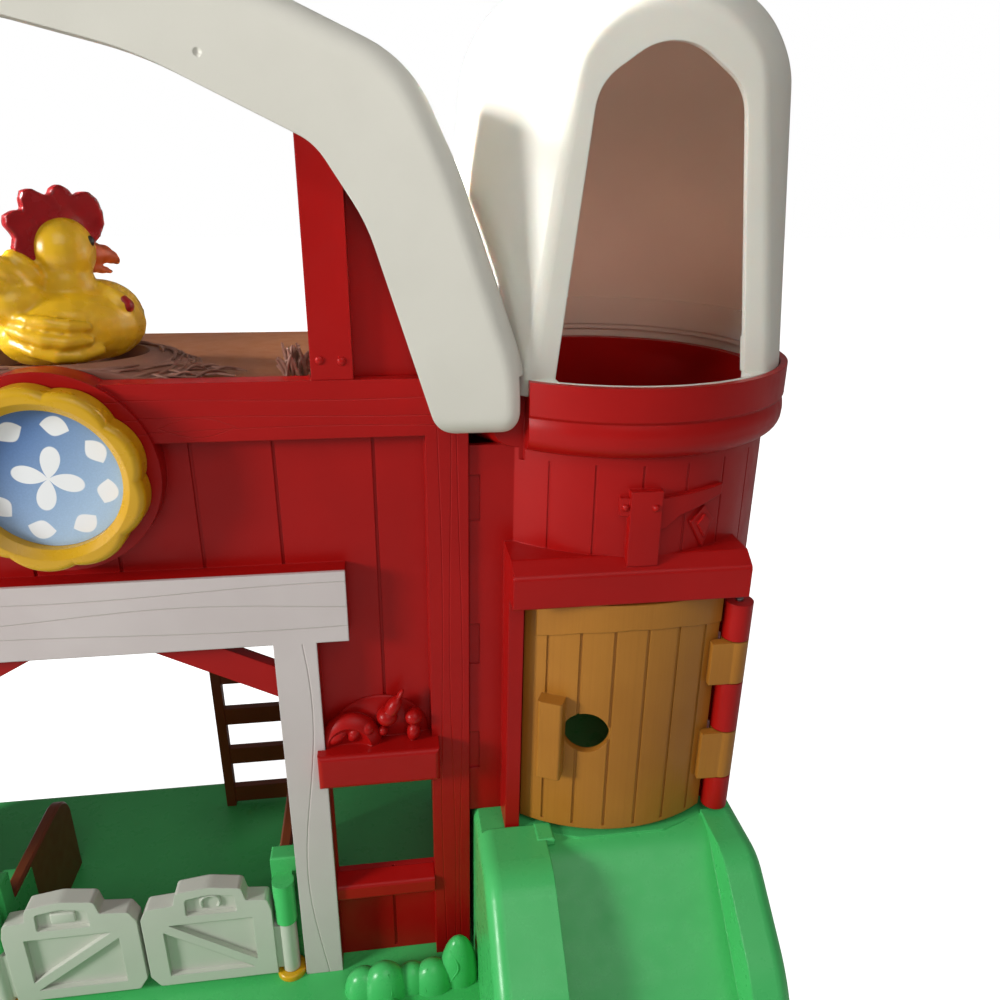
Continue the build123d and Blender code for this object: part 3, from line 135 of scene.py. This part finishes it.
world = bpy.data.worlds.new("studio")
bpy.context.scene.world = world
world.use_nodes = True
tree = world.node_tree
tree.nodes.clear()
path = add(tree, "ShaderNodeLightPath")
room = add(tree, "ShaderNodeBackground", {"Color": hex_colour("#FFFFFF"), "Strength": 0.17})
backdrop = add(tree, "ShaderNodeBackground", {"Color": hex_colour("#FFFFFF"), "Strength": 1.0})
mix = add(tree, "ShaderNodeMixShader", {}, {0: (path, "Is Camera Ray"), 1: (room, "Background"),
                                            2: (backdrop, "Background")})
add(tree, "ShaderNodeOutputWorld", {}, {"Surface": (mix, "Shader")})

# A window on the left, a pale ceiling, two narrow beams on the loft and the hood, the glow inside the hood.
for name, power, size, place, aim, spread, tint in (
        ("key", 17.0, 0.3, (-1.25, -0.55, 0.62), (0.0, 0.0, 0.25), 180, (1, 1, 1)),
        ("fill", 6.0, 1.1, (0.25, -1.1, 1.35), (0.02, 0.0, 0.2), 180, (1, 1, 1)),
        ("side", 1.6, 0.2, (-0.75, 0.1, 0.72), (0.14, 0.04, 0.46), 32, (1, 1, 1)),
        ("crown", 0.05, 0.2, (-0.45, -0.55, 1.25), (0.14, 0.02, 0.42), 16, (1, 1, 1)),
        ("glow", 0.017, 0.06, (0.159, 0.03, 0.335), (0.159, 0.11, 0.43), 180, (1.0, 0.42, 0.3))):
    lamp = bpy.data.objects.new(name, bpy.data.lights.new(name, "AREA"))
    lamp.data.energy = power
    lamp.data.size = size
    lamp.data.spread = radians(spread)
    lamp.data.color = tint
    lamp.visible_camera = False
    lamp.location = place
    lamp.rotation_euler = (Vector(aim) - Vector(place)).to_track_quat("-Z", "Y").to_euler()
    bpy.context.scene.collection.objects.link(lamp)


def moulded(name, colour, shade, roughness, marks=None, mark_colour=None, mark_depth=0.0004, gloss=0.5):
    """Injection-moulded plastic: flow clouding, fine mould texture, scuffs and soft moulded edges.

    marks(tree, x, y, z) may give a node whose value is 1 in an engraved or painted mark."""
    made = bpy.data.materials.new(name)
    made.use_nodes = True
    tree = made.node_tree
    tree.nodes.clear()
    place = add(tree, "ShaderNodeTexCoord")
    cloud = add(tree, "ShaderNodeTexNoise", {"Scale": 22.0, "Detail": 3.0}, {"Vector": (place, "Object")})
    tone = add(tree, "ShaderNodeMapRange", {"From Min": 0.35, "From Max": 0.7}, {"Value": (cloud, "Fac")})
    tint = add(tree, "ShaderNodeMix", {"data_type": "RGBA", 6: hex_colour(colour), 7: hex_colour(shade)},
               {0: (tone, "Result")})
    rub = add(tree, "ShaderNodeTexNoise", {"Scale": 140.0, "Detail": 5.0}, {"Vector": (place, "Object")})
    dull = add(tree, "ShaderNodeMapRange", {"From Min": 0.4, "From Max": 0.75, "To Min": roughness,
                                            "To Max": roughness + 0.12}, {"Value": (rub, "Fac")})
    edge = add(tree, "ShaderNodeBevel", {"samples": 4, "Radius": 0.0007})
    grain = add(tree, "ShaderNodeTexNoise", {"Scale": 1400.0, "Detail": 2.0}, {"Vector": (place, "Object")})
    bump = add(tree, "ShaderNodeBump", {"Strength": 0.2, "Distance": 0.0001},
               {"Height": (grain, "Fac"), "Normal": (edge, "Normal")})
    if marks:
        spot = add(tree, "ShaderNodeSeparateXYZ", {}, {"Vector": (place, "Object")})
        mark = marks(tree, (spot, "X"), (spot, "Y"), (spot, "Z"))
        bump = add(tree, "ShaderNodeBump", {"Strength": 0.9, "Distance": mark_depth, "invert": True},
                   {"Height": mark, "Normal": (bump, "Normal")})
        if mark_colour:
            tint = add(tree, "ShaderNodeMix", {"data_type": "RGBA", 7: hex_colour(mark_colour)},
                       {0: mark, 6: (tint, 2)})
    shader = add(tree, "ShaderNodeBsdfPrincipled", {"IOR": 1.5, "Specular IOR Level": gloss},
                 {"Base Color": (tint, 2), "Roughness": (dull, "Result"), "Normal": (bump, "Normal")})
    add(tree, "ShaderNodeOutputMaterial", {}, {"Surface": (shader, "BSDF")})
    return made


def wavy_line(tree, along, across, middle, swing, turns, start, half_width):
    """1 on a line that waves about a level as it runs along an axis, falling to 0 at its sides."""
    phase = add(tree, "ShaderNodeMath", {"operation": "MULTIPLY_ADD", 1: turns, 2: start}, {0: along})
    wave = add(tree, "ShaderNodeMath", {"operation": "SINE"}, {0: (phase, "Value")})
    level = add(tree, "ShaderNodeMath", {"operation": "MULTIPLY_ADD", 1: swing, 2: middle}, {0: (wave, "Value")})
    off = add(tree, "ShaderNodeMath", {"operation": "SUBTRACT"}, {0: across, 1: (level, "Value")})
    far = add(tree, "ShaderNodeMath", {"operation": "ABSOLUTE"}, {0: (off, "Value")})
    line = add(tree, "ShaderNodeMapRange", {"From Min": 0.0, "From Max": half_width, "To Min": 1.0, "To Max": 0.0},
               {"Value": (far, "Value")})
    return line, "Result"


def between(tree, value, low, high):
    """1 where a value lies between two levels."""
    over = add(tree, "ShaderNodeMath", {"operation": "GREATER_THAN", 1: low}, {0: value})
    under = add(tree, "ShaderNodeMath", {"operation": "LESS_THAN", 1: high}, {0: value})
    both = add(tree, "ShaderNodeMath", {"operation": "MULTIPLY"}, {0: (over, "Value"), 1: (under, "Value")})
    return both, "Value"


def combined(tree, operation, values):
    """All the values joined by one sum, product, least or greatest."""
    whole = values[0]
    for value in values[1:]:
        whole = (add(tree, "ShaderNodeMath", {"operation": operation}, {0: whole, 1: value}), "Value")
    return whole


def dress(material, *names):
    """Give CAD nodes, left and right where there are two, their real finish."""
    for name in names:
        for one in (name, name + "_left", name + "_right"):
            if one in nodes:
                mesh = nodes[one].data
                mesh.materials.clear()
                mesh.materials.append(material)


# Base, ramp, platform and gate posts: one green ABS moulding colour, glossy from the mould.
green = moulded("moulded_green_abs", "#4EC46C", "#46BB64", 0.27, gloss=0.35)
dress(green, "base_tray", "silo_ramp", "gate_post")

# Shrub leaves: the clump by the ramp carries a raised zigzag leaf edge and the low ones a short rib.
paths = []
for cx, cy, r, squash, marks in ((147, -14, 9.5, 2.7, ((-4.4, 20.5), (-1.6, 17.0), (-0.4, 12.0), (-3.0, 8.0), (-5.0, 3.0))),
                                 (111, -17, 11, 1.5, ((1.5, 14.5), (3.8, 10.0), (3.0, 5.0))),
                                 (134, -16, 10, 1.4, ((-2.5, 12.5), (-4.4, 8.0), (-3.6, 3.0)))):
    path = []
    for dx, z in marks:
        depth = 0.8 * r * max(0.05, 1 - (dx / r) ** 2 - (z / (r * squash)) ** 2) ** 0.5
        path.append(at(cx + dx, cy - depth + 0.1, z))
    paths.append(path)
piece("shrub_ribs", strands("shrub_ribs", paths, 0.0006, 2), "barn", green)

# Silo and gable parts: plain red ABS.
red = moulded("moulded_red_abs", "#A6100E", "#9C0E0C", 0.3, gloss=0.2)
dress(red, "window_ledge", "window_sill", "side_wall", "silo_body")


def plank_marks(tree, x, y, z):
    """Grain on the corner posts and the beam, and the long knot in the beam's right half."""
    lines = []
    for middle in (0.0790, 0.0835, 0.0872):
        rail = wavy_line(tree, z, x, middle, 0.0009, 26.0, middle * 900, 0.00035)
        lines.append(rail)
    upright = combined(tree, "MAXIMUM", lines)
    upright = combined(tree, "MULTIPLY", [upright, between(tree, y, -0.02, -0.0105)])
    levels = []
    for middle, start in ((0.2960, 0.4), (0.3005, 1.9), (0.3072, 3.0)):
        levels.append(wavy_line(tree, x, z, middle, 0.0007, 38.0, start, 0.0003))
    level = combined(tree, "MAXIMUM", levels)
    level = combined(tree, "MULTIPLY", [level, between(tree, z, 0.2925, 0.313), between(tree, x, -0.055, 0.085),
                                        between(tree, y, -0.02, -0.0105)])
    knot = []
    for sign in (-1, 1):
        knot.append(wavy_line(tree, x, z, 0.29715, sign * 0.0038, pi / 0.028, 0.024 * pi / 0.028, 0.0003))
    knot = combined(tree, "MULTIPLY", [combined(tree, "MAXIMUM", knot), between(tree, x, -0.024, 0.004)])
    return combined(tree, "MAXIMUM", [upright, level, knot])


# Barn front and gables: the same red, with moulded-in wood grain on the posts, studs and beam.
timber = moulded("moulded_red_timber", "#A6100E", "#9C0E0C", 0.32, plank_marks, None, 0.00015, 0.2)
dress(timber, "front_wall", "gable_frame")

# Rivet heads at the foot of each gable stud: small domes moulded with the stud.
rivets = bmesh.new()
for side in (-1, 1):
    for x, z in ((99.0, 303.5), (107.0, 303.0)):
        spot = Matrix.Translation(at(side * x, 0.4, z)) @ Matrix.Diagonal((1.0, 0.55, 1.0, 1.0))
        bmesh.ops.create_uvsphere(rivets, u_segments=20, v_segments=12, radius=0.0017, matrix=spot)
mesh = bpy.data.meshes.new("stud_rivets")
rivets.to_mesh(mesh)
rivets.free()
piece("stud_rivets", mesh, "barn", red)


def grain_marks(tree, x, y, z):
    """Three wavy grain lines along the lintel and one down each door post."""
    lines = []
    for middle, swing, turns, start in ((0.2308, 0.0016, 30.0, 0.6), (0.2222, 0.0022, 34.0, 2.4),
                                        (0.2132, 0.0014, 27.0, 4.4)):
        lines.append(wavy_line(tree, x, z, middle, swing, turns, start, 0.00045))
    lintel = combined(tree, "MULTIPLY", [combined(tree, "MAXIMUM", lines), between(tree, z, 0.2052, 0.24)])
    posts = []
    for side in (-1, 1):
        posts.append(wavy_line(tree, z, x, -0.063 + side * 0.0822, side * 0.0042, 33.0, 2.1, 0.00045))
    post = combined(tree, "MULTIPLY", [combined(tree, "MAXIMUM", posts), between(tree, z, 0.0, 0.2046)])
    return combined(tree, "MAXIMUM", [lintel, post])


# Facing of the lintel and the door posts: off-white, satin, with its grain pressed in. The grain lines are also tinted
# a little darker: painted shade in the grooves.
facing = moulded("painted_white_facing", "#CFC4C2", "#C7BBB9", 0.42, grain_marks, "#C3B6B3", 0.0002)
dress(facing, "doorway_trim")

# Roof arch and silo hood: warm white ABS. The gates are the same plastic, a little cooler.
white = moulded("moulded_white_abs", "#DEDBCF", "#D7D4C8", 0.34, gloss=0.3)
dress(white, "roof_arch")
hood_white = moulded("thin_white_hood", "#DEDBCF", "#D7D4C8", 0.34, gloss=0.3)
for node in hood_white.node_tree.nodes:
    if node.type == "BSDF_PRINCIPLED":
        node.inputs["Subsurface Weight"].default_value = 0.3
        node.inputs["Subsurface Radius"].default_value = (1.0, 0.55, 0.4)
        node.inputs["Subsurface Scale"].default_value = 0.006
dress(hood_white, "silo_hood")
gate_white = moulded("moulded_white_gate", "#C9CBBE", "#C1C3B6", 0.32, gloss=0.3)
dress(gate_white, "gate")

# Raised emblems in the gates' arched windows: a block with rounded corners and a horseshoe.
for side, body in ((-1, "gate_left"), (1, "gate_right")):
    relief = bmesh.new()
    if side < 0:
        spot = Matrix.Translation(at(side * 32.3, -2.0, 51.2)) @ Matrix.Diagonal((0.011, 0.0018, 0.006, 1.0))
        bmesh.ops.create_cube(relief, size=1.0, matrix=spot)
        bmesh.ops.bevel(relief, geom=relief.edges[:], offset=0.0008, segments=3, profile=0.5, affect="EDGES", material=-1)
    else:
        ring = bmesh.ops.create_circle(relief, cap_ends=True, segments=12, radius=0.0011,
                                       matrix=Matrix.Translation(at(side * 32.3 + 3.4, -2.0, 49.0)))
        bmesh.ops.spin(relief, geom=relief.faces[:], cent=at(side * 32.3, -2.0, 51.4), axis=(0, 1, 0),
                       angle=radians(-250), steps=28, dvec=(0, 0, 0))
    mesh = bpy.data.meshes.new(body + "_relief")
    relief.to_mesh(mesh)
    relief.free()
    piece(body + "_relief", mesh, body, gate_white)

# Silo door: tan ABS with a faint upright wood grain between its staves.
def door_marks(tree, x, y, z):
    stretch = add(tree, "ShaderNodeCombineXYZ", {}, {0: x, 1: y})
    fibre = add(tree, "ShaderNodeTexNoise", {"Scale": 900.0, "Detail": 2.0}, {"Vector": (stretch, "Vector")})
    faint = add(tree, "ShaderNodeMapRange", {"From Min": 0.45, "From Max": 0.8, "To Max": 0.16}, {"Value": (fibre, "Fac")})
    return faint, "Result"


tan = moulded("moulded_tan_abs", "#AB7128", "#A26822", 0.33, door_marks, "#8A581C", 0.0002, 0.25)
dress(tan, "silo_door")

# Stall dividers, ladder and loft: brown ABS.
brown = moulded("moulded_brown_abs", "#7A3C1C", "#6F3518", 0.36, gloss=0.3)
dress(brown, "stall_divider", "ladder")
loft_brown = moulded("moulded_loft_brown", "#8A5430", "#7E4A2A", 0.42, gloss=0.3)
dress(loft_brown, "loft_floor")

# Dial ring and gate bushes: bright yellow ABS.
yellow = moulded("moulded_yellow_abs", "#D8A716", "#CE9C10", 0.26, gloss=0.5)
dress(yellow, "dial_ring", "gate_bush")


def petals(tree, x, y, z):
    """Print mask: a four-petalled pinwheel in the middle and a ring of drops round it."""
    dx = add(tree, "ShaderNodeMath", {"operation": "ADD", 1: 0.063}, {0: x})
    dz = add(tree, "ShaderNodeMath", {"operation": "SUBTRACT", 1: 0.281}, {0: z})
    flat = add(tree, "ShaderNodeCombineXYZ", {}, {0: (dx, "Value"), 1: (dz, "Value")})
    out = add(tree, "ShaderNodeVectorMath", {"operation": "LENGTH"}, {0: (flat, "Vector")})
    turn = add(tree, "ShaderNodeMath", {"operation": "ARCTAN2"}, {0: (dz, "Value"), 1: (dx, "Value")})
    masks = []
    for count, start, inner, outer in ((2.0, 0.5, 0.0, 0.0125), (4.0, 1.1, 0.0165, 0.0245)):
        phase = add(tree, "ShaderNodeMath", {"operation": "MULTIPLY_ADD", 1: count, 2: start}, {0: (turn, "Value")})
        wave = add(tree, "ShaderNodeMath", {"operation": "COSINE"}, {0: (phase, "Value")})
        size = add(tree, "ShaderNodeMath", {"operation": "ABSOLUTE"}, {0: (wave, "Value")})
        if inner:
            middle = (inner + outer) / 2
            off = add(tree, "ShaderNodeMath", {"operation": "SUBTRACT", 1: middle}, {0: (out, "Value")})
            gap = add(tree, "ShaderNodeMath", {"operation": "ABSOLUTE"}, {0: (off, "Value")})
            reach = add(tree, "ShaderNodeMath", {"operation": "MULTIPLY_ADD", 1: 0.0085, 2: -0.0048},
                        {0: (size, "Value")})
        else:
            gap = out
            reach = add(tree, "ShaderNodeMath", {"operation": "MULTIPLY", 1: outer}, {0: (size, "Value")})
        room = add(tree, "ShaderNodeMath", {"operation": "SUBTRACT"}, {0: (reach, "Value"), 1: (gap, "Value")})
        mask = add(tree, "ShaderNodeMapRange", {"From Min": -0.0002, "From Max": 0.0002}, {"Value": (room, "Value")})
        masks.append((mask, "Result"))
    return combined(tree, "MAXIMUM", masks)


# Dial picture: a printed disc under a clear coat, deep blue at its upper left and paler below,
# with a generic pinwheel and drops in white. The print is flat, so its mark has no depth.
ink = bpy.data.materials.new("printed_dial_disc")
ink.use_nodes = True
tree = ink.node_tree
tree.nodes.clear()
place = add(tree, "ShaderNodeTexCoord")
spot = add(tree, "ShaderNodeSeparateXYZ", {}, {"Vector": (place, "Object")})
slope = add(tree, "ShaderNodeMath", {"operation": "SUBTRACT"}, {0: (spot, "X"), 1: (spot, "Z")})
shade = add(tree, "ShaderNodeMapRange", {"From Min": -0.372, "From Max": -0.318}, {"Value": (slope, "Value")})
sky = add(tree, "ShaderNodeMix", {"data_type": "RGBA", 6: hex_colour("#3F6BA8"), 7: hex_colour("#A9C6E2")},
          {0: (shade, "Result")})
dots = add(tree, "ShaderNodeTexVoronoi", {"Scale": 1500.0}, {"Vector": (place, "Object")})
screen = add(tree, "ShaderNodeMapRange", {"To Min": 0.94, "To Max": 1.05}, {"Value": (dots, "Distance")})
printed = add(tree, "ShaderNodeVectorMath", {"operation": "SCALE"}, {0: (sky, 2), "Scale": (screen, "Result")})
mask = petals(tree, (spot, "X"), (spot, "Y"), (spot, "Z"))
final = add(tree, "ShaderNodeMix", {"data_type": "RGBA", 7: hex_colour("#F1F3F4")}, {0: mask, 6: (printed, "Vector")})
shader = add(tree, "ShaderNodeBsdfPrincipled", {"Roughness": 0.3, "IOR": 1.5, "Coat Weight": 0.4,
                                                "Coat Roughness": 0.12}, {"Base Color": (final, 2)})
add(tree, "ShaderNodeOutputMaterial", {}, {"Surface": (shader, "BSDF")})
dress(ink, "dial_picture")


# Hen: a yellow moulding with a glossy skin, turned a little to the back on its stem. It has
# a neck, a fanned tail, three raised feathers on each wing and a raised border round each wattle.
# All hen sizes are mm from the loft's top at the stem: forward, to the left, up.
hen_seat = Matrix.Translation(at(-3, 36, 294)) @ Matrix.Rotation(radians(40), 4, "Z")


def casting(name, masses, voxel, rounds, outline=(), half=0.0):
    """Rounded masses, and a flat plate if an outline is given, run together into one smooth skin.

    A mass is its place, its half sizes, its lean about the cross axis and its turn about the upright.
    """
    blank = bmesh.new()
    for u, v, w, a, b, c, lean, turn in masses:
        spot = hen_seat @ Matrix.Translation(Vector((u, v, w)) / 1000)
        spot = spot @ Matrix.Rotation(radians(turn), 4, "Z") @ Matrix.Rotation(radians(lean), 4, "Y")
        bmesh.ops.create_uvsphere(blank, u_segments=20, v_segments=12, radius=0.001,
                                  matrix=spot @ Matrix.Diagonal((a, b, c, 1.0)))
    if outline:
        rings = [[blank.verts.new(hen_seat @ Vector((u / 1000, side * half / 1000, w / 1000)))
                  for u, w in outline] for side in (-1, 1)]
        blank.faces.new(rings[0])
        blank.faces.new(rings[1][::-1])
        for i in range(len(outline)):
            j = (i + 1) % len(outline)
            blank.faces.new((rings[0][j], rings[0][i], rings[1][i], rings[1][j]))
        bmesh.ops.recalc_face_normals(blank, faces=blank.faces[:])
    mesh = bpy.data.meshes.new(name + "_blank")
    blank.to_mesh(mesh)
    blank.free()
    holder = bpy.data.objects.new(name + "_blank", mesh)
    bpy.context.scene.collection.objects.link(holder)
    join = holder.modifiers.new("join", "REMESH")
    join.mode = "VOXEL"
    join.voxel_size = voxel
    soften = holder.modifiers.new("soften", "SMOOTH")
    soften.factor = 0.5
    soften.iterations = rounds
    bpy.context.view_layer.update()
    made = bpy.data.meshes.new_from_object(holder.evaluated_get(bpy.context.evaluated_depsgraph_get()))
    bpy.data.objects.remove(holder)
    made.name = name
    made.materials.clear()
    return made


def bead(points, radii, rise):
    """Small masses along a line on the hen's right side and the same on its left, lifted off its skin."""
    masses = []
    for k in range(len(points) - 1):
        for i in range(5):
            t = i / 4
            u, v, w = (points[k][n] + (points[k + 1][n] - points[k][n]) * t for n in range(3))
            radius = radii[k] + (radii[k + 1] - radii[k]) * t
            for side in (1, -1):
                masses.append((u, side * (v - rise), w, radius, radius, radius, 0, 0))
    return masses


masses = [(8, 0, 17, 27, 22, 15.5, 0, 0), (3, 0, 13, 24, 19.5, 12, 0, 0), (17, 0, 20, 17, 16, 14, 0, 0),
          (7, 0, 32, 10.5, 10.5, 13, 0, 0), (7.6, 0, 45.2, 11.7, 11.2, 12.6, 0, 0),
          (-7, 0, 39, 4.4, 6, 9, -38, 0), (-13.5, 0, 38, 4.6, 6.5, 10.5, -48, 0), (-18, 0, 33, 4.6, 6.5, 11, -62, 0),
          (-12, 0, 27, 11, 9, 9, 0, 0)]
feathers = (((-16.5, -5.5, 22.7), (-13.5, -12.0, 22.2), (-9.0, -17.0, 21.4), (-3.0, -20.4, 20.0), (3.0, -22.0, 19.4)),
            ((-18.6, -5.5, 18.5), (-15.8, -12.0, 17.2), (-11.5, -17.0, 15.4), (-5.0, -20.8, 14.2), (3.0, -22.4, 14.4)),
            ((-17.4, -7.0, 12.6), (-13.6, -13.4, 10.8), (-8.0, -18.0, 9.2), (-1.0, -20.6, 8.8), (7.0, -21.4, 10.2)))
for line in feathers:
    masses += bead(line, (1.6, 2.3, 2.7, 2.6, 1.8), 0.3)
wattle_line = ((15.6, -7.4, 32.6), (17.4, -10.4, 29.8), (19.6, -12.8, 26.8), (21.0, -13.8, 24.8))
masses += bead(wattle_line, (1.6, 2.8, 3.8, 3.9), 0.6)
blank = bmesh.new()
blank.from_mesh(casting("hen_figure", masses, 0.0008, 4))
# The underside is drawn in so that it stays within the nest's hollow when the hen is pressed down.
middle = at(-3, 36, 314)
for vert in blank.verts:
    out = (vert.co - middle) * 1000
    low = min(max((1.0 - out.z) / 6.0, 0.0), 1.0)
    room = max(1 - min(out.z / 25, 0.0) ** 2, 0.05) ** 0.5
    reach = ((out.x / 34.6) ** 2 + (out.y / 24.6) ** 2) ** 0.5 / room
    if reach > 1:
        shrink = 1 - low * (1 - 1 / reach)
        vert.co.x = middle.x + out.x * shrink / 1000
        vert.co.y = middle.y + out.y * shrink / 1000
bmesh.ops.bisect_plane(blank, geom=blank.verts[:] + blank.edges[:] + blank.faces[:], plane_co=at(0, 0, 299),
                       plane_no=(0, 0, 1), clear_inner=True)
bmesh.ops.holes_fill(blank, edges=[e for e in blank.edges if e.is_boundary], sides=0)
bmesh.ops.create_cone(blank, cap_ends=True, segments=48, radius1=0.005, radius2=0.005, depth=0.0224,
                      matrix=Matrix.Translation(at(-3, 36, 292.8)))
mesh = bpy.data.meshes.new("hen_figure_cut")
blank.to_mesh(mesh)
blank.free()
hen_yellow = moulded("moulded_yellow_hen", "#E9B922", "#DFAD1A", 0.24)
figure = piece("hen_figure", mesh, "hen", hen_yellow)
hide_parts("hen_body")
dress(hen_yellow, "hen_body")

# Comb: a puffy red plate with a fan of five lobes, pressed into a slot in the head.
comb_edge = ((4, 36), (-3.5, 40.6), (-7.6, 42.8), (-10.2, 46.4), (-8.8, 50.6), (-11.4, 54.6), (-11.0, 58.2), (-7.6, 59.9),
             (-4.4, 60.0), (-4.8, 63.6), (-3.4, 66.8), (-0.4, 67.4), (3.2, 65.4), (5.4, 64.9), (6.6, 67.4), (9.4, 69.0),
             (12.2, 67.4), (14.2, 64.6), (16.4, 66.0), (19.6, 66.4), (22.6, 63.8), (24.0, 59.0), (23.8, 54.0), (21.6, 49.6),
             (17.5, 46.0))
comb_red = moulded("painted_red_comb", "#9A0C12", "#8E0A10", 0.22, gloss=0.4)
comb = piece("hen_comb_fan", casting("hen_comb_fan", [(8, 0, 54, 12, 3.4, 11, 0, 0)], 0.0006, 9, comb_edge, 2.6),
             "hen", comb_red)
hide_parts("hen_comb")
dress(comb_red, "hen_comb")

# Beak: orange paint over the moulding, the upper half hooked over the lower.
masses = [(17.6, 0, 43.6, 5.2, 4.6, 4.9, 0, 0), (22.0, 0, 43.2, 4.2, 3.5, 3.7, 0, 0), (25.2, 0, 41.9, 2.9, 2.4, 2.7, 0, 0),
          (27.2, 0, 40.6, 1.6, 1.4, 1.8, 0, 0), (18.0, 0, 38.4, 3.6, 3.0, 2.2, 0, 0), (21.2, 0, 37.2, 2.8, 2.1, 1.5, 0, 0),
          (23.8, 0, 36.4, 1.5, 1.1, 0.9, 0, 0)]
beak_orange = moulded("painted_orange_beak", "#C4531A", "#B84A15", 0.3)
beak = piece("hen_beak_hook", casting("hen_beak_hook", masses, 0.0005, 3), "hen", beak_orange)
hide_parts("hen_beak")
dress(beak_orange, "hen_beak")

# Wattles: a red teardrop painted on each raised border.
masses = bead(((16.2, -7.8, 32.4), (18.1, -10.9, 29.4), (20.4, -13.4, 26.4), (21.6, -14.2, 24.6)), (0.8, 1.9, 2.9, 3.0), 1.4)
piece("hen_wattle", casting("hen_wattle", masses, 0.0005, 3), "hen", comb_red)

# Eyes: glossy black paint on low domes, forward on each side of the head.
masses = [(15.4, side * 6.9, 48.6, 1.5, 1.5, 2.1, 0, 0) for side in (-1, 1)]
black = moulded("painted_black_eye", "#12100E", "#1A1714", 0.12)
piece("hen_eyes", casting("hen_eyes", masses, 0.0003, 1), "hen", black)

# Nest and hay: straw-coloured plastic. Thin strands lie round the nest's rim and over its edge,
# and a tuft leans on the right stud's foot.
straw = moulded("moulded_straw", "#8A5E4C", "#74493A", 0.5)
dress(straw, "nest")
draw = random.Random(7)
paths = []
for i in range(120):
    turn = draw.uniform(0, 2 * pi)
    reach = draw.uniform(0.8, 1.04)
    length = draw.uniform(0.25, 0.6)
    path = []
    for j in range(5):
        a = turn + length * (j / 4 - 0.5)
        r = reach + 0.05 * sin(3 * a + i)
        x = -1.0 + 47.0 * r * cos(a)
        y = 36.0 + 35.5 * r * sin(a)
        lift = 8.6 * max(0.0, 1 - r * r) ** 0.5
        path.append(at(x, max(y, 10.2), 294.9 + lift + draw.uniform(0.0, 0.8)))
    paths.append(path)
for i in range(26):
    x = draw.uniform(34, 62)
    y = draw.uniform(12, 34)
    turn = draw.uniform(-0.7, 0.7)
    length = draw.uniform(9, 17)
    rise = draw.uniform(0.2, 2.6)
    path = []
    for j in range(4):
        step = (j / 3 - 0.5) * length
        path.append(at(x + step * cos(turn), max(10.2, y + step * sin(turn)), 294.8 + rise * sin(pi * j / 3)
                       + draw.uniform(0.0, 0.5)))
    paths.append(path)
piece("nest_straw", strands("nest_straw", paths, 0.0006, 1), "barn", straw)
tuft = []
for i in range(44):
    x = draw.uniform(84, 94)
    lean = draw.uniform(-5.0, 4.0)
    height = draw.uniform(4.0, 12.0)
    y = draw.uniform(12, 24)
    tuft.append([at(x + lean * t * t, y + draw.uniform(-0.6, 0.6), 294.6 + height * t) for t in (0.0, 0.35, 0.7, 1.0)])
piece("hay_tuft", strands("hay_tuft", tuft, 0.0008, 1), "barn", straw)

# Pins, screws, washers and the spring: zinc-plated steel, faintly brushed.
steel = moulded("plated_steel", "#8F8F8D", "#848482", 0.3)
for node in steel.node_tree.nodes:
    if node.type == "BSDF_PRINCIPLED":
        node.inputs["Metallic"].default_value = 1.0
dress(steel, "hen_spring", "hen_screw", "hen_washer", "dial_washer", "dial_screw", "silo_door_pin", "wall_screws",
      "silo_screws", "roof_screws")
